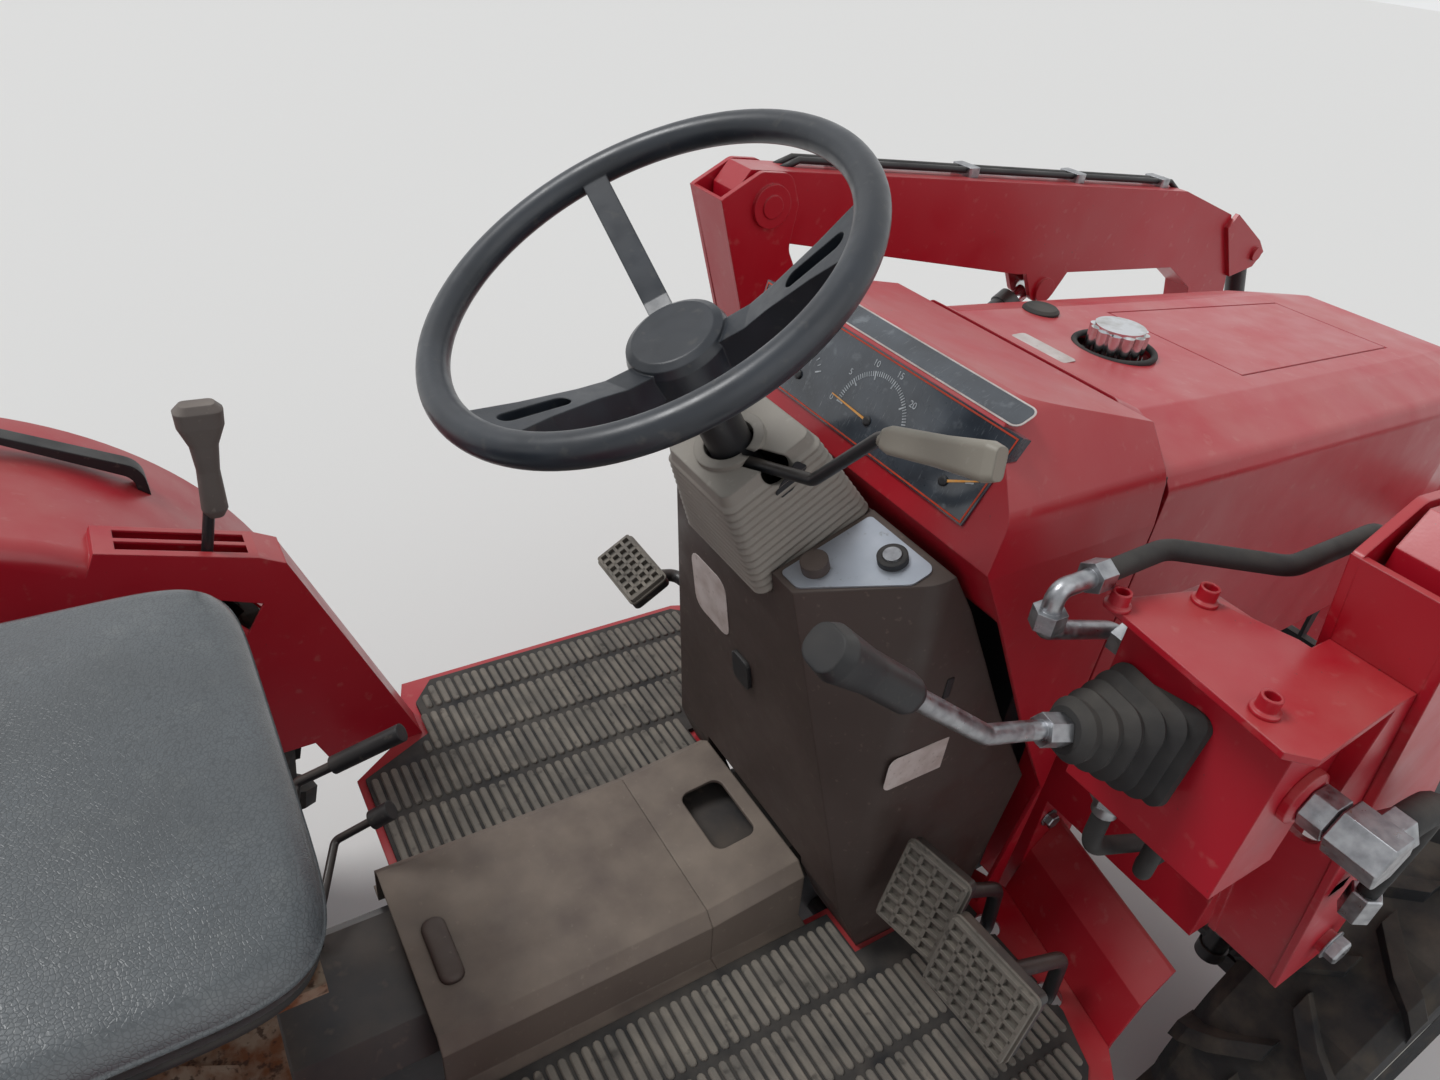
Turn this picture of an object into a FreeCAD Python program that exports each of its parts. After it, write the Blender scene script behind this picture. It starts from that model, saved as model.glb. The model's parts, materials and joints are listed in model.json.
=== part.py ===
# Small utility tractor with a front loader, built up as separate pieces.
# Millimetres.  While building, X runs forward from the rear axle, Y to the left, Z up from the ground.
import FreeCAD
import Part
import math
import os

V = FreeCAD.Vector

# Driving dimensions
WHEELBASE = 1600.0
REAR_R = 455.0
REAR_W = 285.0
REAR_Y = 545.0
REAR_RIM_R = 203.0
FRONT_R = 330.0
FRONT_W = 175.0
FRONT_Y = 540.0
FRONT_RIM_R = 152.0
KINGPIN_Y = 400.0
FENDER_CLEARANCE = 50.0
FENDER_R = REAR_R + FENDER_CLEARANCE
FLOOR_Z = 475.0
TUNNEL_Z = 549.0
SEAM_X = 1183.0
HOOD_FRONT_X = 2030.0
HOOD_SEAM_Z = 1168.5
GAP = 6.0
SHEET = 3.0
SEAT_GAP = 0.3
RUN_GAP = 0.4
SEAT_FRONT_X = 387.0
SEAT_TOP_Z = 952.0
WHEEL_RIM_X = 714.0
WHEEL_RIM_Z = 1296.0
WHEEL_TILT = 31.0
WHEEL_R = 189.8
BOOM_X = 1149.0
BOOM_Z = 1194.0
BOOM_Y = 481.5
BOOM_W = 57.0
MAST_IN = 439.0
MAST_OUT = 524.0
MAST_T = 8.0
LIFT_BASE = (1300.0, 690.0)
LIFT_EYE = (1780.0, 1003.0)
TILT_BASE = (2400.0, 1018.0)
TILT_EYE = (2640.0, 525.0)
BUCKET_X = 2560.0
BUCKET_Z = 185.0
BUCKET_HALF = 690.0
LIP_X = 3090.0
LINK_END_X = -790.0
X_MID = (LIP_X + LINK_END_X) / 2.0


# Helpers
def box(x0, x1, y0, y1, z0, z1):
    return Part.makeBox(x1 - x0, y1 - y0, z1 - z0, V(x0, y0, z0))


def cyl(p, d, r, h):
    return Part.makeCylinder(r, h, V(*p), V(*d))


def rod(a, b, r):
    a = V(*a)
    b = V(*b)
    return Part.makeCylinder(r, (b - a).Length, a, b - a)


def pipe(a, b, ro, ri):
    return rod(a, b, ro).cut(rod(a, b, ri))


def across(r, y0, y1, x, z):
    return Part.makeCylinder(r, y1 - y0, V(x, y0, z), V(0, 1, 0))


def face(points):
    return Part.Face(Part.makePolygon([V(*p) for p in points] + [V(*points[0])]))


def side_plate(outline, y0, y1):
    return face([(x, y0, z) for x, z in outline]).extrude(V(0, y1 - y0, 0))


def front_plate(outline, x0, x1):
    return face([(x0, y, z) for y, z in outline]).extrude(V(x1 - x0, 0, 0))


def flat_plate(outline, z0, z1):
    return face([(x, y, z0) for x, y in outline]).extrude(V(0, 0, z1 - z0))


def loft(wires):
    return Part.makeLoft(wires, True, True)


def ring_section(x, half, low, high, cut):
    outline = [(-half, low + cut), (-half + cut, low), (half - cut, low), (half, low + cut),
               (half, high - cut), (half - cut, high), (-half + cut, high), (-half, high - cut)]
    return Part.makePolygon([V(x, y, z) for y, z in outline] + [V(x, *outline[0])])


def fuse(shapes):
    shapes = list(shapes)
    whole = shapes[0]
    if len(shapes) > 1:
        whole = whole.multiFuse(shapes[1:])
    return whole.removeSplitter()


def group(shapes):
    solids = []
    for s in shapes:
        solids += s.Solids
    return Part.makeCompound(solids)


def mirror(s):
    return s.mirror(V(0, 0, 0), V(0, 1, 0))


def pair(s):
    return group([s, mirror(s)])


def spin(profile, centre, axis):
    return face(profile).revolve(V(*centre), V(*axis), 360)


def soften(s, radius, pick):
    edges = [e for e in s.Edges if pick(e)]
    return s.makeFillet(radius, edges)


def upright(e):
    a = e.Vertexes[0].Point
    b = e.Vertexes[-1].Point
    return abs(a.x - b.x) < 0.01 and abs(a.y - b.y) < 0.01 and abs(a.z - b.z) > 1


def lengthwise(e):
    a = e.Vertexes[0].Point
    b = e.Vertexes[-1].Point
    return abs(a.z - b.z) < 0.01 and abs(a.y - b.y) < 0.01 and abs(a.x - b.x) > 1


def placed(s, p, x_dir, z_dir):
    """Puts a shape that was built along +Z at a point, along z_dir, with its X side towards x_dir."""
    turn = FreeCAD.Rotation(V(*x_dir), V(0, 0, 0), V(*z_dir), "ZXY")
    s = s.copy()
    s.Placement = FreeCAD.Placement(V(*p), turn)
    return s


def rounded(points, radii):
    """A closed wire through corner points, each corner an arc."""
    pts = [V(*p) for p in points]
    count = len(pts)
    ends = []
    for i, p in enumerate(pts):
        if not radii[i]:
            ends.append((p, p, p))
            continue
        a = (pts[i - 1] - p).normalize()
        b = (pts[(i + 1) % count] - p).normalize()
        half = a.getAngle(b) / 2
        back = radii[i] / math.tan(half)
        bulge = (a + b).normalize() * (radii[i] / math.sin(half) - radii[i])
        ends.append((p + a * back, p + bulge, p + b * back))
    edges = []
    for i, (start, middle, stop) in enumerate(ends):
        if radii[i]:
            edges.append(Part.Arc(start, middle, stop).toShape())
        edges.append(Part.makeLine(stop, ends[(i + 1) % count][0]))
    return Part.Wire(edges)


def pad_section(half_x, half_y, r, z, cx=0.0):
    corners = [(cx - half_x, -half_y, z), (cx + half_x, -half_y, z), (cx + half_x, half_y, z),
               (cx - half_x, half_y, z)]
    return rounded(corners, [r] * 4)


def hexagon(across_flats, length, bore=0.0):
    r = across_flats / math.sqrt(3)
    points = [V(r * math.cos(math.radians(60 * i)), r * math.sin(math.radians(60 * i)), 0) for i in range(6)]
    body = Part.Face(Part.makePolygon(points + [points[0]])).extrude(V(0, 0, length))
    return body.cut(cyl((0, 0, -1), (0, 0, 1), bore, length + 2)) if bore else body


def sideways(e):
    a = e.Vertexes[0].Point
    b = e.Vertexes[-1].Point
    return abs(a.x - b.x) < 0.01 and abs(a.z - b.z) < 0.01


def bent_pipe(points, r, bend):
    pts = [V(*p) for p in points]
    edges = []
    start = pts[0]
    for i in range(1, len(pts) - 1):
        a = (pts[i - 1] - pts[i]).normalize()
        b = (pts[i + 1] - pts[i]).normalize()
        half = a.getAngle(b) / 2
        back = bend / math.tan(half)
        p = pts[i] + a * back
        q = pts[i] + b * back
        mid = (a + b).normalize() * (bend / math.sin(half) - bend)
        edges.append(Part.makeLine(start, p))
        edges.append(Part.Arc(p, pts[i] + mid, q).toShape())
        start = q
    edges.append(Part.makeLine(start, pts[-1]))
    path = Part.Wire(edges)
    ring = Part.Wire(Part.makeCircle(r, pts[0], pts[1] - pts[0]))
    return path.makePipeShell([ring], True, False)


PARTS = {}


def put(name, shape):
    PARTS[name] = shape


# Wheels: a tyre with raised bars from its middle to each shoulder, a rim with a dished disc and a hub
def ngon(count, r, x, y, z):
    corners = [V(x + r * math.cos(math.tau * i / count), y, z + r * math.sin(math.tau * i / count))
               for i in range(count)]
    return Part.makePolygon(corners + [corners[0]])


def tread_bar(r, crown_r, half_w, side, width):
    # Columns: share of the half width, turn in degrees, top radius, base radius
    rows = [(-0.06, 2, r, crown_r - 8), (0.45, -5.5, r, crown_r - 8), (0.80, -9, r - 1, crown_r - 12),
            (0.985, -11.5, r - 0.05 * r, crown_r * 0.90)]
    wires = []
    for share, turn, top, base in rows:
        corners = []
        for radius, half in ((base, width * 0.72), (top, width * 0.5)):
            for sign in ((-1, 1) if radius == base else (1, -1)):
                a = math.radians(turn) + sign * half / radius
                corners.append(V(radius * math.sin(a), side * share * half_w, radius * math.cos(a)))
        wires.append(Part.makePolygon(corners + [corners[0]]))
    return Part.makeLoft(wires, True, True)


def tyre(r, w, rim_r, x, y, bars, bar_h, bar_w):
    h = w / 2
    bead = h * 0.74 - 1
    crown = r - bar_h
    count = 2 * bars
    side = [(rim_r + 15, bead), (rim_r + 32, h * 0.86), (crown * 0.80, h), (crown * 0.94, h * 0.95),
            (crown, h * 0.72)]
    rows = [(a, -b) for a, b in side] + [(a, b) for a, b in reversed(side)]
    body = loft([ngon(count, a, x, y + b, r) for a, b in rows])
    bore = loft([ngon(count, (rim_r + 1.3) / math.cos(math.pi / count), x, y + b, r) for b in (-h, h)])
    treads = []
    for sign, start in ((1, 0), (-1, 180 / bars)):
        one = tread_bar(r, crown, h, sign, bar_w)
        for i in range(bars):
            bar = one.copy()
            bar.rotate(V(0, 0, 0), V(0, 1, 0), start + i * 360 / bars)
            bar.translate(V(x, y, r))
            treads.append(bar)
    return body.cut(bore).multiFuse(treads)


def rim(rim_r, w, hub_r, x, y, z, inset, shaft_r, shaft):
    h = w * 0.37
    t = 8.0
    barrel = [(rim_r + 1, -h), (rim_r + 14, -h - 4), (rim_r + 14, -h - 10), (rim_r - 8, -h - 10),
              (rim_r - 8, -h + 20),
              (rim_r - 34, -h + 40), (rim_r - 34, h - 40), (rim_r - 8, h - 20), (rim_r - 8, h + 10),
              (rim_r + 14, h + 10), (rim_r + 14, h + 4), (rim_r + 1, h), (rim_r + 1, h - 24),
              (rim_r - 26, h - 44),
              (rim_r - 26, -h + 44), (rim_r + 1, -h + 24)]
    disc = [(0, inset), (hub_r + 22, inset), (rim_r - 40, inset + 34), (rim_r - 28, inset + 34),
            (rim_r - 28, inset + 34 + t), (rim_r - 44, inset + 34 + t), (hub_r + 20, inset + t),
            (0, inset + t)]
    parts = [spin([(x + a, y + b, z) for a, b in prof], (x, y, z), (0, 1, 0)) for prof in (barrel, disc)]
    parts.append(across(hub_r, y + inset - 2, y + inset + 26, x, z))
    parts.append(across(shaft_r, y + inset - shaft, y + inset, x, z))
    return fuse(parts)


put("rear_tyre_left", tyre(REAR_R, REAR_W, REAR_RIM_R, 0, REAR_Y, 18, 26, 34))
put("rear_rim_left", rim(REAR_RIM_R, REAR_W, 60, 0, REAR_Y, REAR_R, -60, 40, 34.5))
put("front_tyre_left", tyre(FRONT_R, FRONT_W, FRONT_RIM_R, WHEELBASE, FRONT_Y, 14, 18, 26))
put("front_rim_left", rim(FRONT_RIM_R, FRONT_W, 45, WHEELBASE, FRONT_Y, FRONT_R, -20, 28, 6))
for name in ("rear_tyre", "rear_rim", "front_tyre", "front_rim"):
    put(name + "_right", mirror(PARTS[name + "_left"]))

# Castings down the middle.  Columns: x, half width, bottom, top, corner cut
CASE = [(-170, 130, 345, 640, 40), (200, 130, 345, 640, 40), (330, 100, 345, 530, 30),
        (1000, 100, 345, 530, 30),
        (1050, 160, 385, 640, 50), (1180, 165, 385, 700, 60)]
put("transmission_case", loft([ring_section(*row) for row in CASE]))
put("engine_block", box(1180.3, 1700, -150, 150, 445, 860))

AXLE_TUBE_R = 68.0
axle_tube = [(0, 130.3), (105, 130.3), (105, 150), (AXLE_TUBE_R, 200), (AXLE_TUBE_R, 386), (92, 396),
             (92, 420),
             (45, 420), (45, 450), (0, 450)]
trumpet = spin([(a, y, REAR_R) for a, y in axle_tube], (0, 0, REAR_R), (0, 1, 0))
put("rear_axle_housings", pair(trumpet))


# Front frame: two side rails, a nose plate, posts for the hood hinge and the saddle that carries the axle
HINGE = (2042.0, 738.0)
HINGE_PIN_R = 7.5


def hinge_post(side):
    x, z = HINGE
    y0 = 100 if side > 0 else -106.5
    foot = side_plate([(2060, 515), (2078, 515), (2078, 600), (x + 14, z), (x - 14, z), (x - 10, z - 24),
                       (2054, 600)],
                      y0, y0 + 6.5)
    eye = across(14, y0, y0 + 6.5, x, z)
    return foot.fuse(eye).cut(across(HINGE_PIN_R + RUN_GAP, y0 - 5, y0 + 12, x, z))


RAIL_LOW = 440.0
RAIL_NOSE_LOW = 420.0
RAIL_TOP = 520.0
rail = side_plate([(1180.3, RAIL_LOW), (1180.3, RAIL_TOP), (2060, RAIL_TOP), (2060, RAIL_NOSE_LOW),
                   (1900, RAIL_NOSE_LOW), (1840, RAIL_LOW)], 150, 170)
nose = box(2060, 2078, -170, 170, RAIL_NOSE_LOW, RAIL_TOP)
posts = [hinge_post(s) for s in (-1, 1)]
saddle = []
SADDLE = ((WHEELBASE - 90, WHEELBASE - 74), (WHEELBASE + 74, WHEELBASE + 94))
for x0, x1 in SADDLE:
    hanger = front_plate([(-152, 444), (-152, 410), (-45, 398), (-45, 345), (-25, 325), (25, 325), (45, 345),
                          (45, 398), (152, 410), (152, 444)], x0, x1)
    saddle.append(hanger.cut(cyl((x0 - 5, 0, 370), (1, 0, 0), 24.3, 40)))
put("front_frame", fuse([rail, mirror(rail), nose] + posts + saddle))

# Front axle: a cast beam hung on a fore and aft pin, with a fork end at each kingpin
BEAM = [(0, 70, 262, 398, 22), (90, 62, 272, 388, 22), (150, 44, 292, 366, 16), (345, 44, 292, 366, 16)]
half_beam = loft([ring_section(y, half, low, high, cut) for y, half, low, high, cut in BEAM])
half_beam.rotate(V(0, 0, 0), V(0, 0, 1), 90)
half_beam.translate(V(WHEELBASE, 0, 0))
head = cyl((WHEELBASE, KINGPIN_Y, 300), (0, 0, 1), 38, 60)
neck = box(WHEELBASE - 34, WHEELBASE + 34, 330, KINGPIN_Y, 302, 358)
axle_pin = cyl((SADDLE[0][0] - 4, 0, 370), (1, 0, 0), 24, SADDLE[1][1] - SADDLE[0][0] + 8)
side = fuse([half_beam, head, neck])
put("front_axle_beam", fuse([side, mirror(side), axle_pin]))


# Knuckles: upper and lower lugs on the kingpin, a spindle, and a steering arm to the rear
def knuckle():
    lug_top = cyl((WHEELBASE, KINGPIN_Y, 366), (0, 0, 1), 38, 30)
    lug_low = cyl((WHEELBASE, KINGPIN_Y, 264), (0, 0, 1), 38, 30)
    pin = cyl((WHEELBASE, KINGPIN_Y, 264), (0, 0, 1), 20, 132)
    back = box(WHEELBASE - 38, WHEELBASE + 38, KINGPIN_Y + 44, KINGPIN_Y + 70, 264, 396)
    cheeks = [box(WHEELBASE - 38, WHEELBASE + 38, KINGPIN_Y, KINGPIN_Y + 60, z, z + 30) for z in (264, 366)]
    spindle = across(28, KINGPIN_Y + 60, FRONT_Y - 26.5, WHEELBASE, FRONT_R)
    arm = box(WHEELBASE - 130, WHEELBASE, KINGPIN_Y - 14, KINGPIN_Y + 14, 370, 390)
    eye = cyl((WHEELBASE - 130, KINGPIN_Y, 370), (0, 0, 1), 20, 20)
    return fuse([lug_top, lug_low, back, spindle, arm, eye] + cheeks), pin


body, kingpin = knuckle()
clear = cyl((WHEELBASE, KINGPIN_Y, 200), (0, 0, 1), 20.3, 300)
put("front_axle_beam", PARTS["front_axle_beam"].cut(clear).cut(mirror(clear)))
put("knuckle_left", fuse([body, kingpin]))
ram_arm = box(WHEELBASE, WHEELBASE + 120, -KINGPIN_Y - 14, -KINGPIN_Y + 14, 370, 390)
ram_eye = cyl((WHEELBASE + 120, -KINGPIN_Y, 370), (0, 0, 1), 20, 20)
put("knuckle_right", fuse([mirror(PARTS["knuckle_left"]), ram_arm, ram_eye]))
TIE_ROD_Z = 405.0
tie = rod((WHEELBASE - 130, -KINGPIN_Y + 4, TIE_ROD_Z), (WHEELBASE - 130, KINGPIN_Y - 4, TIE_ROD_Z), 13)
ends = [cyl((WHEELBASE - 130, s * KINGPIN_Y, 390.5), (0, 0, 1), 17, 34) for s in (-1, 1)]
put("tie_rod", fuse([tie] + ends))

# Steering ram across the front of the axle: barrel on the beam, rod on the right knuckle
RAM_PIN = (WHEELBASE + 120, -80.0)
RAM_Z = 402.5
ram_bracket = box(WHEELBASE + 40, RAM_PIN[0] + 22, RAM_PIN[1] - 22, RAM_PIN[1] + 22, 340, 391)
ram_plug = box(RAM_PIN[0] - 20, RAM_PIN[0] + 20, RAM_PIN[1] - 22, RAM_PIN[1] + 22, 390, RAM_Z + 20)
ram_barrel = pipe((RAM_PIN[0], RAM_PIN[1] - 20, RAM_Z), (RAM_PIN[0], RAM_PIN[1] - 215, RAM_Z), 22, 11.5)
put("front_axle_beam", fuse([PARTS["front_axle_beam"], ram_bracket, ram_plug, ram_barrel]))
ram_rod = rod((RAM_PIN[0], RAM_PIN[1] - 110, RAM_Z), (RAM_PIN[0], -KINGPIN_Y + 14, RAM_Z), 11)
put("steering_ram_rod", fuse([ram_rod, cyl((RAM_PIN[0], -KINGPIN_Y, 390.5), (0, 0, 1), 17, 24)]))


# Hood.  Columns: x, roof half width, shoulder half width, side half width, roof height, shoulder height
HOOD_ROWS = [(SEAM_X + GAP, 140, 163, 230, 1168, 1142), (SEAM_X + 50, 140, 163, 229, 1148, 1139),
             (1372, 136, 160, 226, 1137, 1131), (1900, 118, 140, 207, 1104, 1100),
             (HOOD_FRONT_X - 40, 108, 130, 194, 1096, 1090)]
HOOD_LOW = 760.0


def hood_section(x, roof, shoulder, side, top, edge, t, low):
    outline = [(-side + t, low), (-side + t, edge - 34), (-side + 12 + t, edge - 17 - t),
               (-shoulder + t, edge - t),
               (-roof + t, top - t), (roof - t, top - t), (shoulder - t, edge - t),
               (side - 12 - t, edge - 17 - t),
               (side - t, edge - 34), (side - t, low)]
    return rounded([(x, y, zz) for y, zz in outline], [0, 14, 18, 12, 12, 12, 12, 18, 14, 0])


# A shallow pressed line round the middle of the roof
RECESS = [(1480, -104), (1860, -88), (1860, 88), (1480, 104)]
RECESS_INNER = [(p, a, b) for p, a, b in zip(RECESS, (3, -3, -3, 3), (3, 3, -3, -3))]


def hood():
    outer = loft([hood_section(*row, 0, HOOD_LOW) for row in HOOD_ROWS])
    inner = loft([hood_section(*row, 5, HOOD_LOW - 5) for row in HOOD_ROWS])
    nose_row = HOOD_ROWS[-1]
    nose = box(HOOD_FRONT_X - 40, HOOD_FRONT_X, -nose_row[3], nose_row[3], HOOD_LOW, nose_row[5] - 34)
    cap = loft([hood_section(*nose_row, 0, 1000),
                hood_section(HOOD_FRONT_X, 100, 120, 180, 1056, 1052, 0, 1000)])
    nose = soften(nose, 22, lambda e: upright(e) and e.Vertexes[0].Point.x > HOOD_FRONT_X - 5)
    window = box(HOOD_FRONT_X - 60, HOOD_FRONT_X + 5, -152, 152, 790, 1012)
    hole = cyl((CAP_X, 0, 1000), (0, 0, 1), 48, 300)
    x, z = HINGE
    lugs = []
    for y in (112, -118):
        lugs.append(side_plate([(1996, HOOD_LOW + 1), (2028, HOOD_LOW + 1), (x + 14, z + 4), (x + 14, z),
                                (x - 14, z)], y, y + 6))
        lugs.append(across(14, y, y + 6, x, z))
    pins = [across(HINGE_PIN_R, y, y + 22, x, z) for y in (98, -120)]
    shallow = loft([hood_section(*row, 1.6, HOOD_LOW - 5) for row in HOOD_ROWS])
    line = flat_plate(RECESS, 1060,
                      1200).cut(flat_plate([(x + a, y + b) for (x, y), a, b in RECESS_INNER], 1060, 1200))
    return fuse([outer.cut(inner).cut(line.cut(shallow)), nose.cut(window),
                 cap.cut(window)] + lugs + pins).cut(hole)


CAP_X = SEAM_X + 183.0
put("hood", hood())

# Grille bars and lamps in the nose
bars = [box(HOOD_FRONT_X - 30, HOOD_FRONT_X - 14, -151.7, 151.7, 800 + 22 * i, 806 + 22 * i)
        for i in range(5)]
frame_z = [box(HOOD_FRONT_X - 34, HOOD_FRONT_X - 10, y, y + 8, 790.3, 905) for y in (-151.7, -4, 143.7)]
put("grille", fuse(bars + frame_z))
lamps = [box(HOOD_FRONT_X - 36, HOOD_FRONT_X - 6, y, y + 112, 905.3, 1000) for y in (-151.7, 39.7)]
put("headlamps", group(lamps))

# Cowl: the red housing round the instrument panel, a shell that is open underneath
GLASS_LOW = (956.0, 1102.0)
GLASS_TOP = (990.0, 1190.0)
STRIP_TOP = (1017.0, 1201.0)
COWL_FOOT_Z = FLOOR_Z + SEAT_GAP


def cowl_side(t):
    return [(GLASS_LOW[0] - 8 + t, GLASS_LOW[1] - 22 + t), (GLASS_TOP[0] - 4 + t, GLASS_TOP[1] + 2 - t),
            (STRIP_TOP[0] + 2, STRIP_TOP[1] + 6 - t), (SEAM_X - 4, HOOD_SEAM_Z + 1 - t),
            (SEAM_X - 4, COWL_FOOT_Z),
            (1147, COWL_FOOT_Z), (1175, 690), (1090, 830), (990, 1010)]


def cowl_front(t):
    return [(-225 + t, COWL_FOOT_Z - 5), (-232 + t, 700), (-234 + t, 1075), (-228 + t, 1127 - t),
            (-163, 1206 - t),
            (163, 1206 - t), (228 - t, 1127 - t), (234 - t, 1075), (232 - t, 700), (225 - t, COWL_FOOT_Z - 5)]


def cowl_body(t):
    edge = [(900, y, z) for y, z in cowl_front(t)]
    return Part.Face(rounded(edge, [0, 0, 0, 34 - t, 30 - t, 30 - t, 34 - t, 0, 0, 0])).extrude(V(300, 0, 0))


def cowl():
    outer = side_plate(cowl_side(0), -240, 240).common(cowl_body(0))
    inner = side_plate(cowl_side(5), -240, 240).common(cowl_body(5))
    inner = inner.cut(box(900, 1200, -300, 300, 400, COWL_FOOT_Z + 5))
    behind = box(1100, 1200, -215, 215, 400, 1120)
    return outer.cut(inner.fuse(behind))


put("cowl", cowl())
seal = front_plate([(-228, 700), (-231, 1075), (-226, 1124), (-163, 1139), (-140, 1165), (140, 1165),
                    (163, 1139),
                    (226, 1124), (231, 1075), (228, 700)], SEAM_X - 3.7, SEAM_X + 0.5)
hollow = front_plate([(-216, 690), (-219, 1072), (-214, 1112), (-158, 1127), (-136, 1153), (136, 1153),
                      (158, 1127),
                      (214, 1112), (219, 1072), (216, 690)], SEAM_X - 10, SEAM_X + 10)
put("hood_seal", seal.cut(hollow))

# Fuel neck and cap, standing on the tank below the hood
neck = cyl((CAP_X, 0, 900), (0, 0, 1), 27, 232.7)
flange = cyl((CAP_X, 0, 1124), (0, 0, 1), 40, 4)
tank = box(1230, 1560, -170, 170, 905, 1060)
cradle = [box(x, x + 30, -60, 60, 860.3, 905) for x in (1260, 1500)]
put("fuel_tank", fuse([tank, neck, flange] + cradle))
lobes = [cyl((CAP_X + 27 * math.cos(a), 27 * math.sin(a), 1133), (0, 0, 1), 8, 30)
         for a in [math.radians(30 * i) for i in range(12)]]
put("fuel_cap", fuse([cyl((CAP_X, 0, 1133), (0, 0, 1), 30, 34)] + lobes))

# Pedestal below the wheel, a moulded shell, with the plate that carries the switch
PEDESTAL = [(834, 1012), (848, 943), (903, 669), (924, 560), (962, FLOOR_Z + 0.3), (1142, FLOOR_Z + 0.3),
            (1170, 690),
            (1085, 826), (984, 1006), (950, 1056)]
CLUTCH_HOLE = (972, 170, 728)
PED_PLAN = [(820, -100), (935, -200), (1180, -206), (1180, 206), (935, 200), (820, 100)]
PED_HOLLOW = [(846, 1000), (860, 943), (915, 669), (934, 566), (974, FLOOR_Z - 5), (1130, FLOOR_Z - 5),
              (1157, 690),
              (1073, 820), (972, 1000), (945, 1040)]


def offset_plan(t):
    return [(x + (t if i in (0, 5) else 0), y - math.copysign(t, y)) for i, (x, y) in enumerate(PED_PLAN)]


def rounded_plan(t):
    plan = [(x, y, 400) for x, y in offset_plan(t)]
    return Part.Face(rounded(plan, [26 - t, 40 - t, 0, 0, 40 - t, 26 - t])).extrude(V(0, 0, 680))


def pedestal():
    shell = side_plate(PEDESTAL, -210, 210).common(rounded_plan(0))
    core = side_plate(PED_HOLLOW, -210, 210).common(rounded_plan(7))
    seat = box(-80, 100, -77.3, 77.3, -330.3, 0)
    tilt(seat)
    tunnel_mouth = box(850, 1000, -113, 113, 400, 572)
    front_mouth = box(1040, 1200, -170, 170, 400, 706)
    clutch_hole = cyl(CLUTCH_HOLE, (0, 1, 0), 24, 60)
    column_hole = cyl((0, 0, -500), (0, 0, 1), 26, 300)
    tilt(column_hole)
    top = box(-62, 78, -77, 77, -336, -330.3)
    tilt(top)
    body = shell.cut(core).fuse(top.common(side_plate(PEDESTAL, -210, 210)))
    return body.cut(seat).cut(tunnel_mouth).cut(front_mouth).cut(clutch_hole).cut(column_hole)


# Plate on the pedestal's sloping top, with a knob and the key switch
SWITCH_SLOPE = math.degrees(math.atan2(PEDESTAL[-1][1] - PEDESTAL[0][1], PEDESTAL[-1][0] - PEDESTAL[0][0]))
slope_x = (math.cos(math.radians(SWITCH_SLOPE)), 0, math.sin(math.radians(SWITCH_SLOPE)))
slope_z = (-slope_x[2], 0, slope_x[0])
SWITCH_PLATE = [(6, -84, 0), (6, -112, 0), (88, -182, 0), (116, -182, 0), (116, -84, 0)]
plate = Part.Face(rounded(SWITCH_PLATE, [5, 10, 14, 10, 5])).extrude(V(0, 0, 2))
knob = cyl((34, -104, 0), (0, 0, 1), 14, 14)
key_ring = cyl((94, -146, 0), (0, 0, 1), 15, 9)
key_core = cyl((94, -146, 0), (0, 0, 1), 9, 11)
on_slope = (PEDESTAL[0][0] + slope_z[0] * SEAT_GAP, 0, PEDESTAL[0][1] + slope_z[2] * SEAT_GAP)
put("switch_plate", placed(fuse([plate, knob, key_ring, key_core]), on_slope, slope_x, slope_z))


# Steering column boot, column and wheel, all square to the tilted axis
def tilt(s):
    s.rotate(V(0, 0, 0), V(0, 1, 0), -WHEEL_TILT)
    s.translate(V(WHEEL_RIM_X, 0, WHEEL_RIM_Z))
    return s


BOOT_X = 7.0
BOOT_HALF = 55.0
BOOT_LOW = -330.0
BOOT_TOP = -209.0
BOOT_RIBS = 13


def boot_sections(inset, low, top, ribs, rib_h):
    """Rounded squares up the boot, which tapers; every second one stands out as a rib."""
    wires = []
    steps = 2 * ribs
    for i in range(steps + 1):
        share = i / steps
        half = BOOT_HALF + 16 * (1 - share) - inset + (rib_h if i % 2 else 0)
        wires.append(pad_section(half, half + 3, 12, low + (top - low) * share, BOOT_X))
    return wires


def boot():
    skirt = loft(boot_sections(0, BOOT_LOW, BOOT_TOP - 12, BOOT_RIBS, 2.6))
    top = loft([pad_section(BOOT_HALF, BOOT_HALF + 3, 12, BOOT_TOP - 12, BOOT_X),
                pad_section(BOOT_HALF - 3, BOOT_HALF, 10, BOOT_TOP, BOOT_X)])
    collar = cyl((0, 0, BOOT_TOP - 3), (0, 0, 1), 36, 9)
    inside = loft(boot_sections(5, BOOT_LOW - 1, BOOT_TOP - 5, 1, 0))
    hole = cyl((0, 0, BOOT_LOW), (0, 0, 1), 25.5, 200)
    return fuse([skirt, top, collar]).cut(inside).cut(hole)


THROTTLE_PATH = [(826, -24.8, 1109.5), (850, -95, 1123), (862, -155, 1195), (874, -265, 1228)]
throttle_hole = rod(THROTTLE_PATH[0], THROTTLE_PATH[1], 15)
put("column_boot", tilt(boot()).cut(throttle_hole))
column = tilt(cyl((0, 0, -745), (0, 0, 1), 22, 745 - 120))
case_above = PARTS["transmission_case"].copy()
case_above.translate(V(0, 0, SEAT_GAP))
put("steering_column", column.cut(case_above))
put("pedestal", pedestal())


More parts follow.
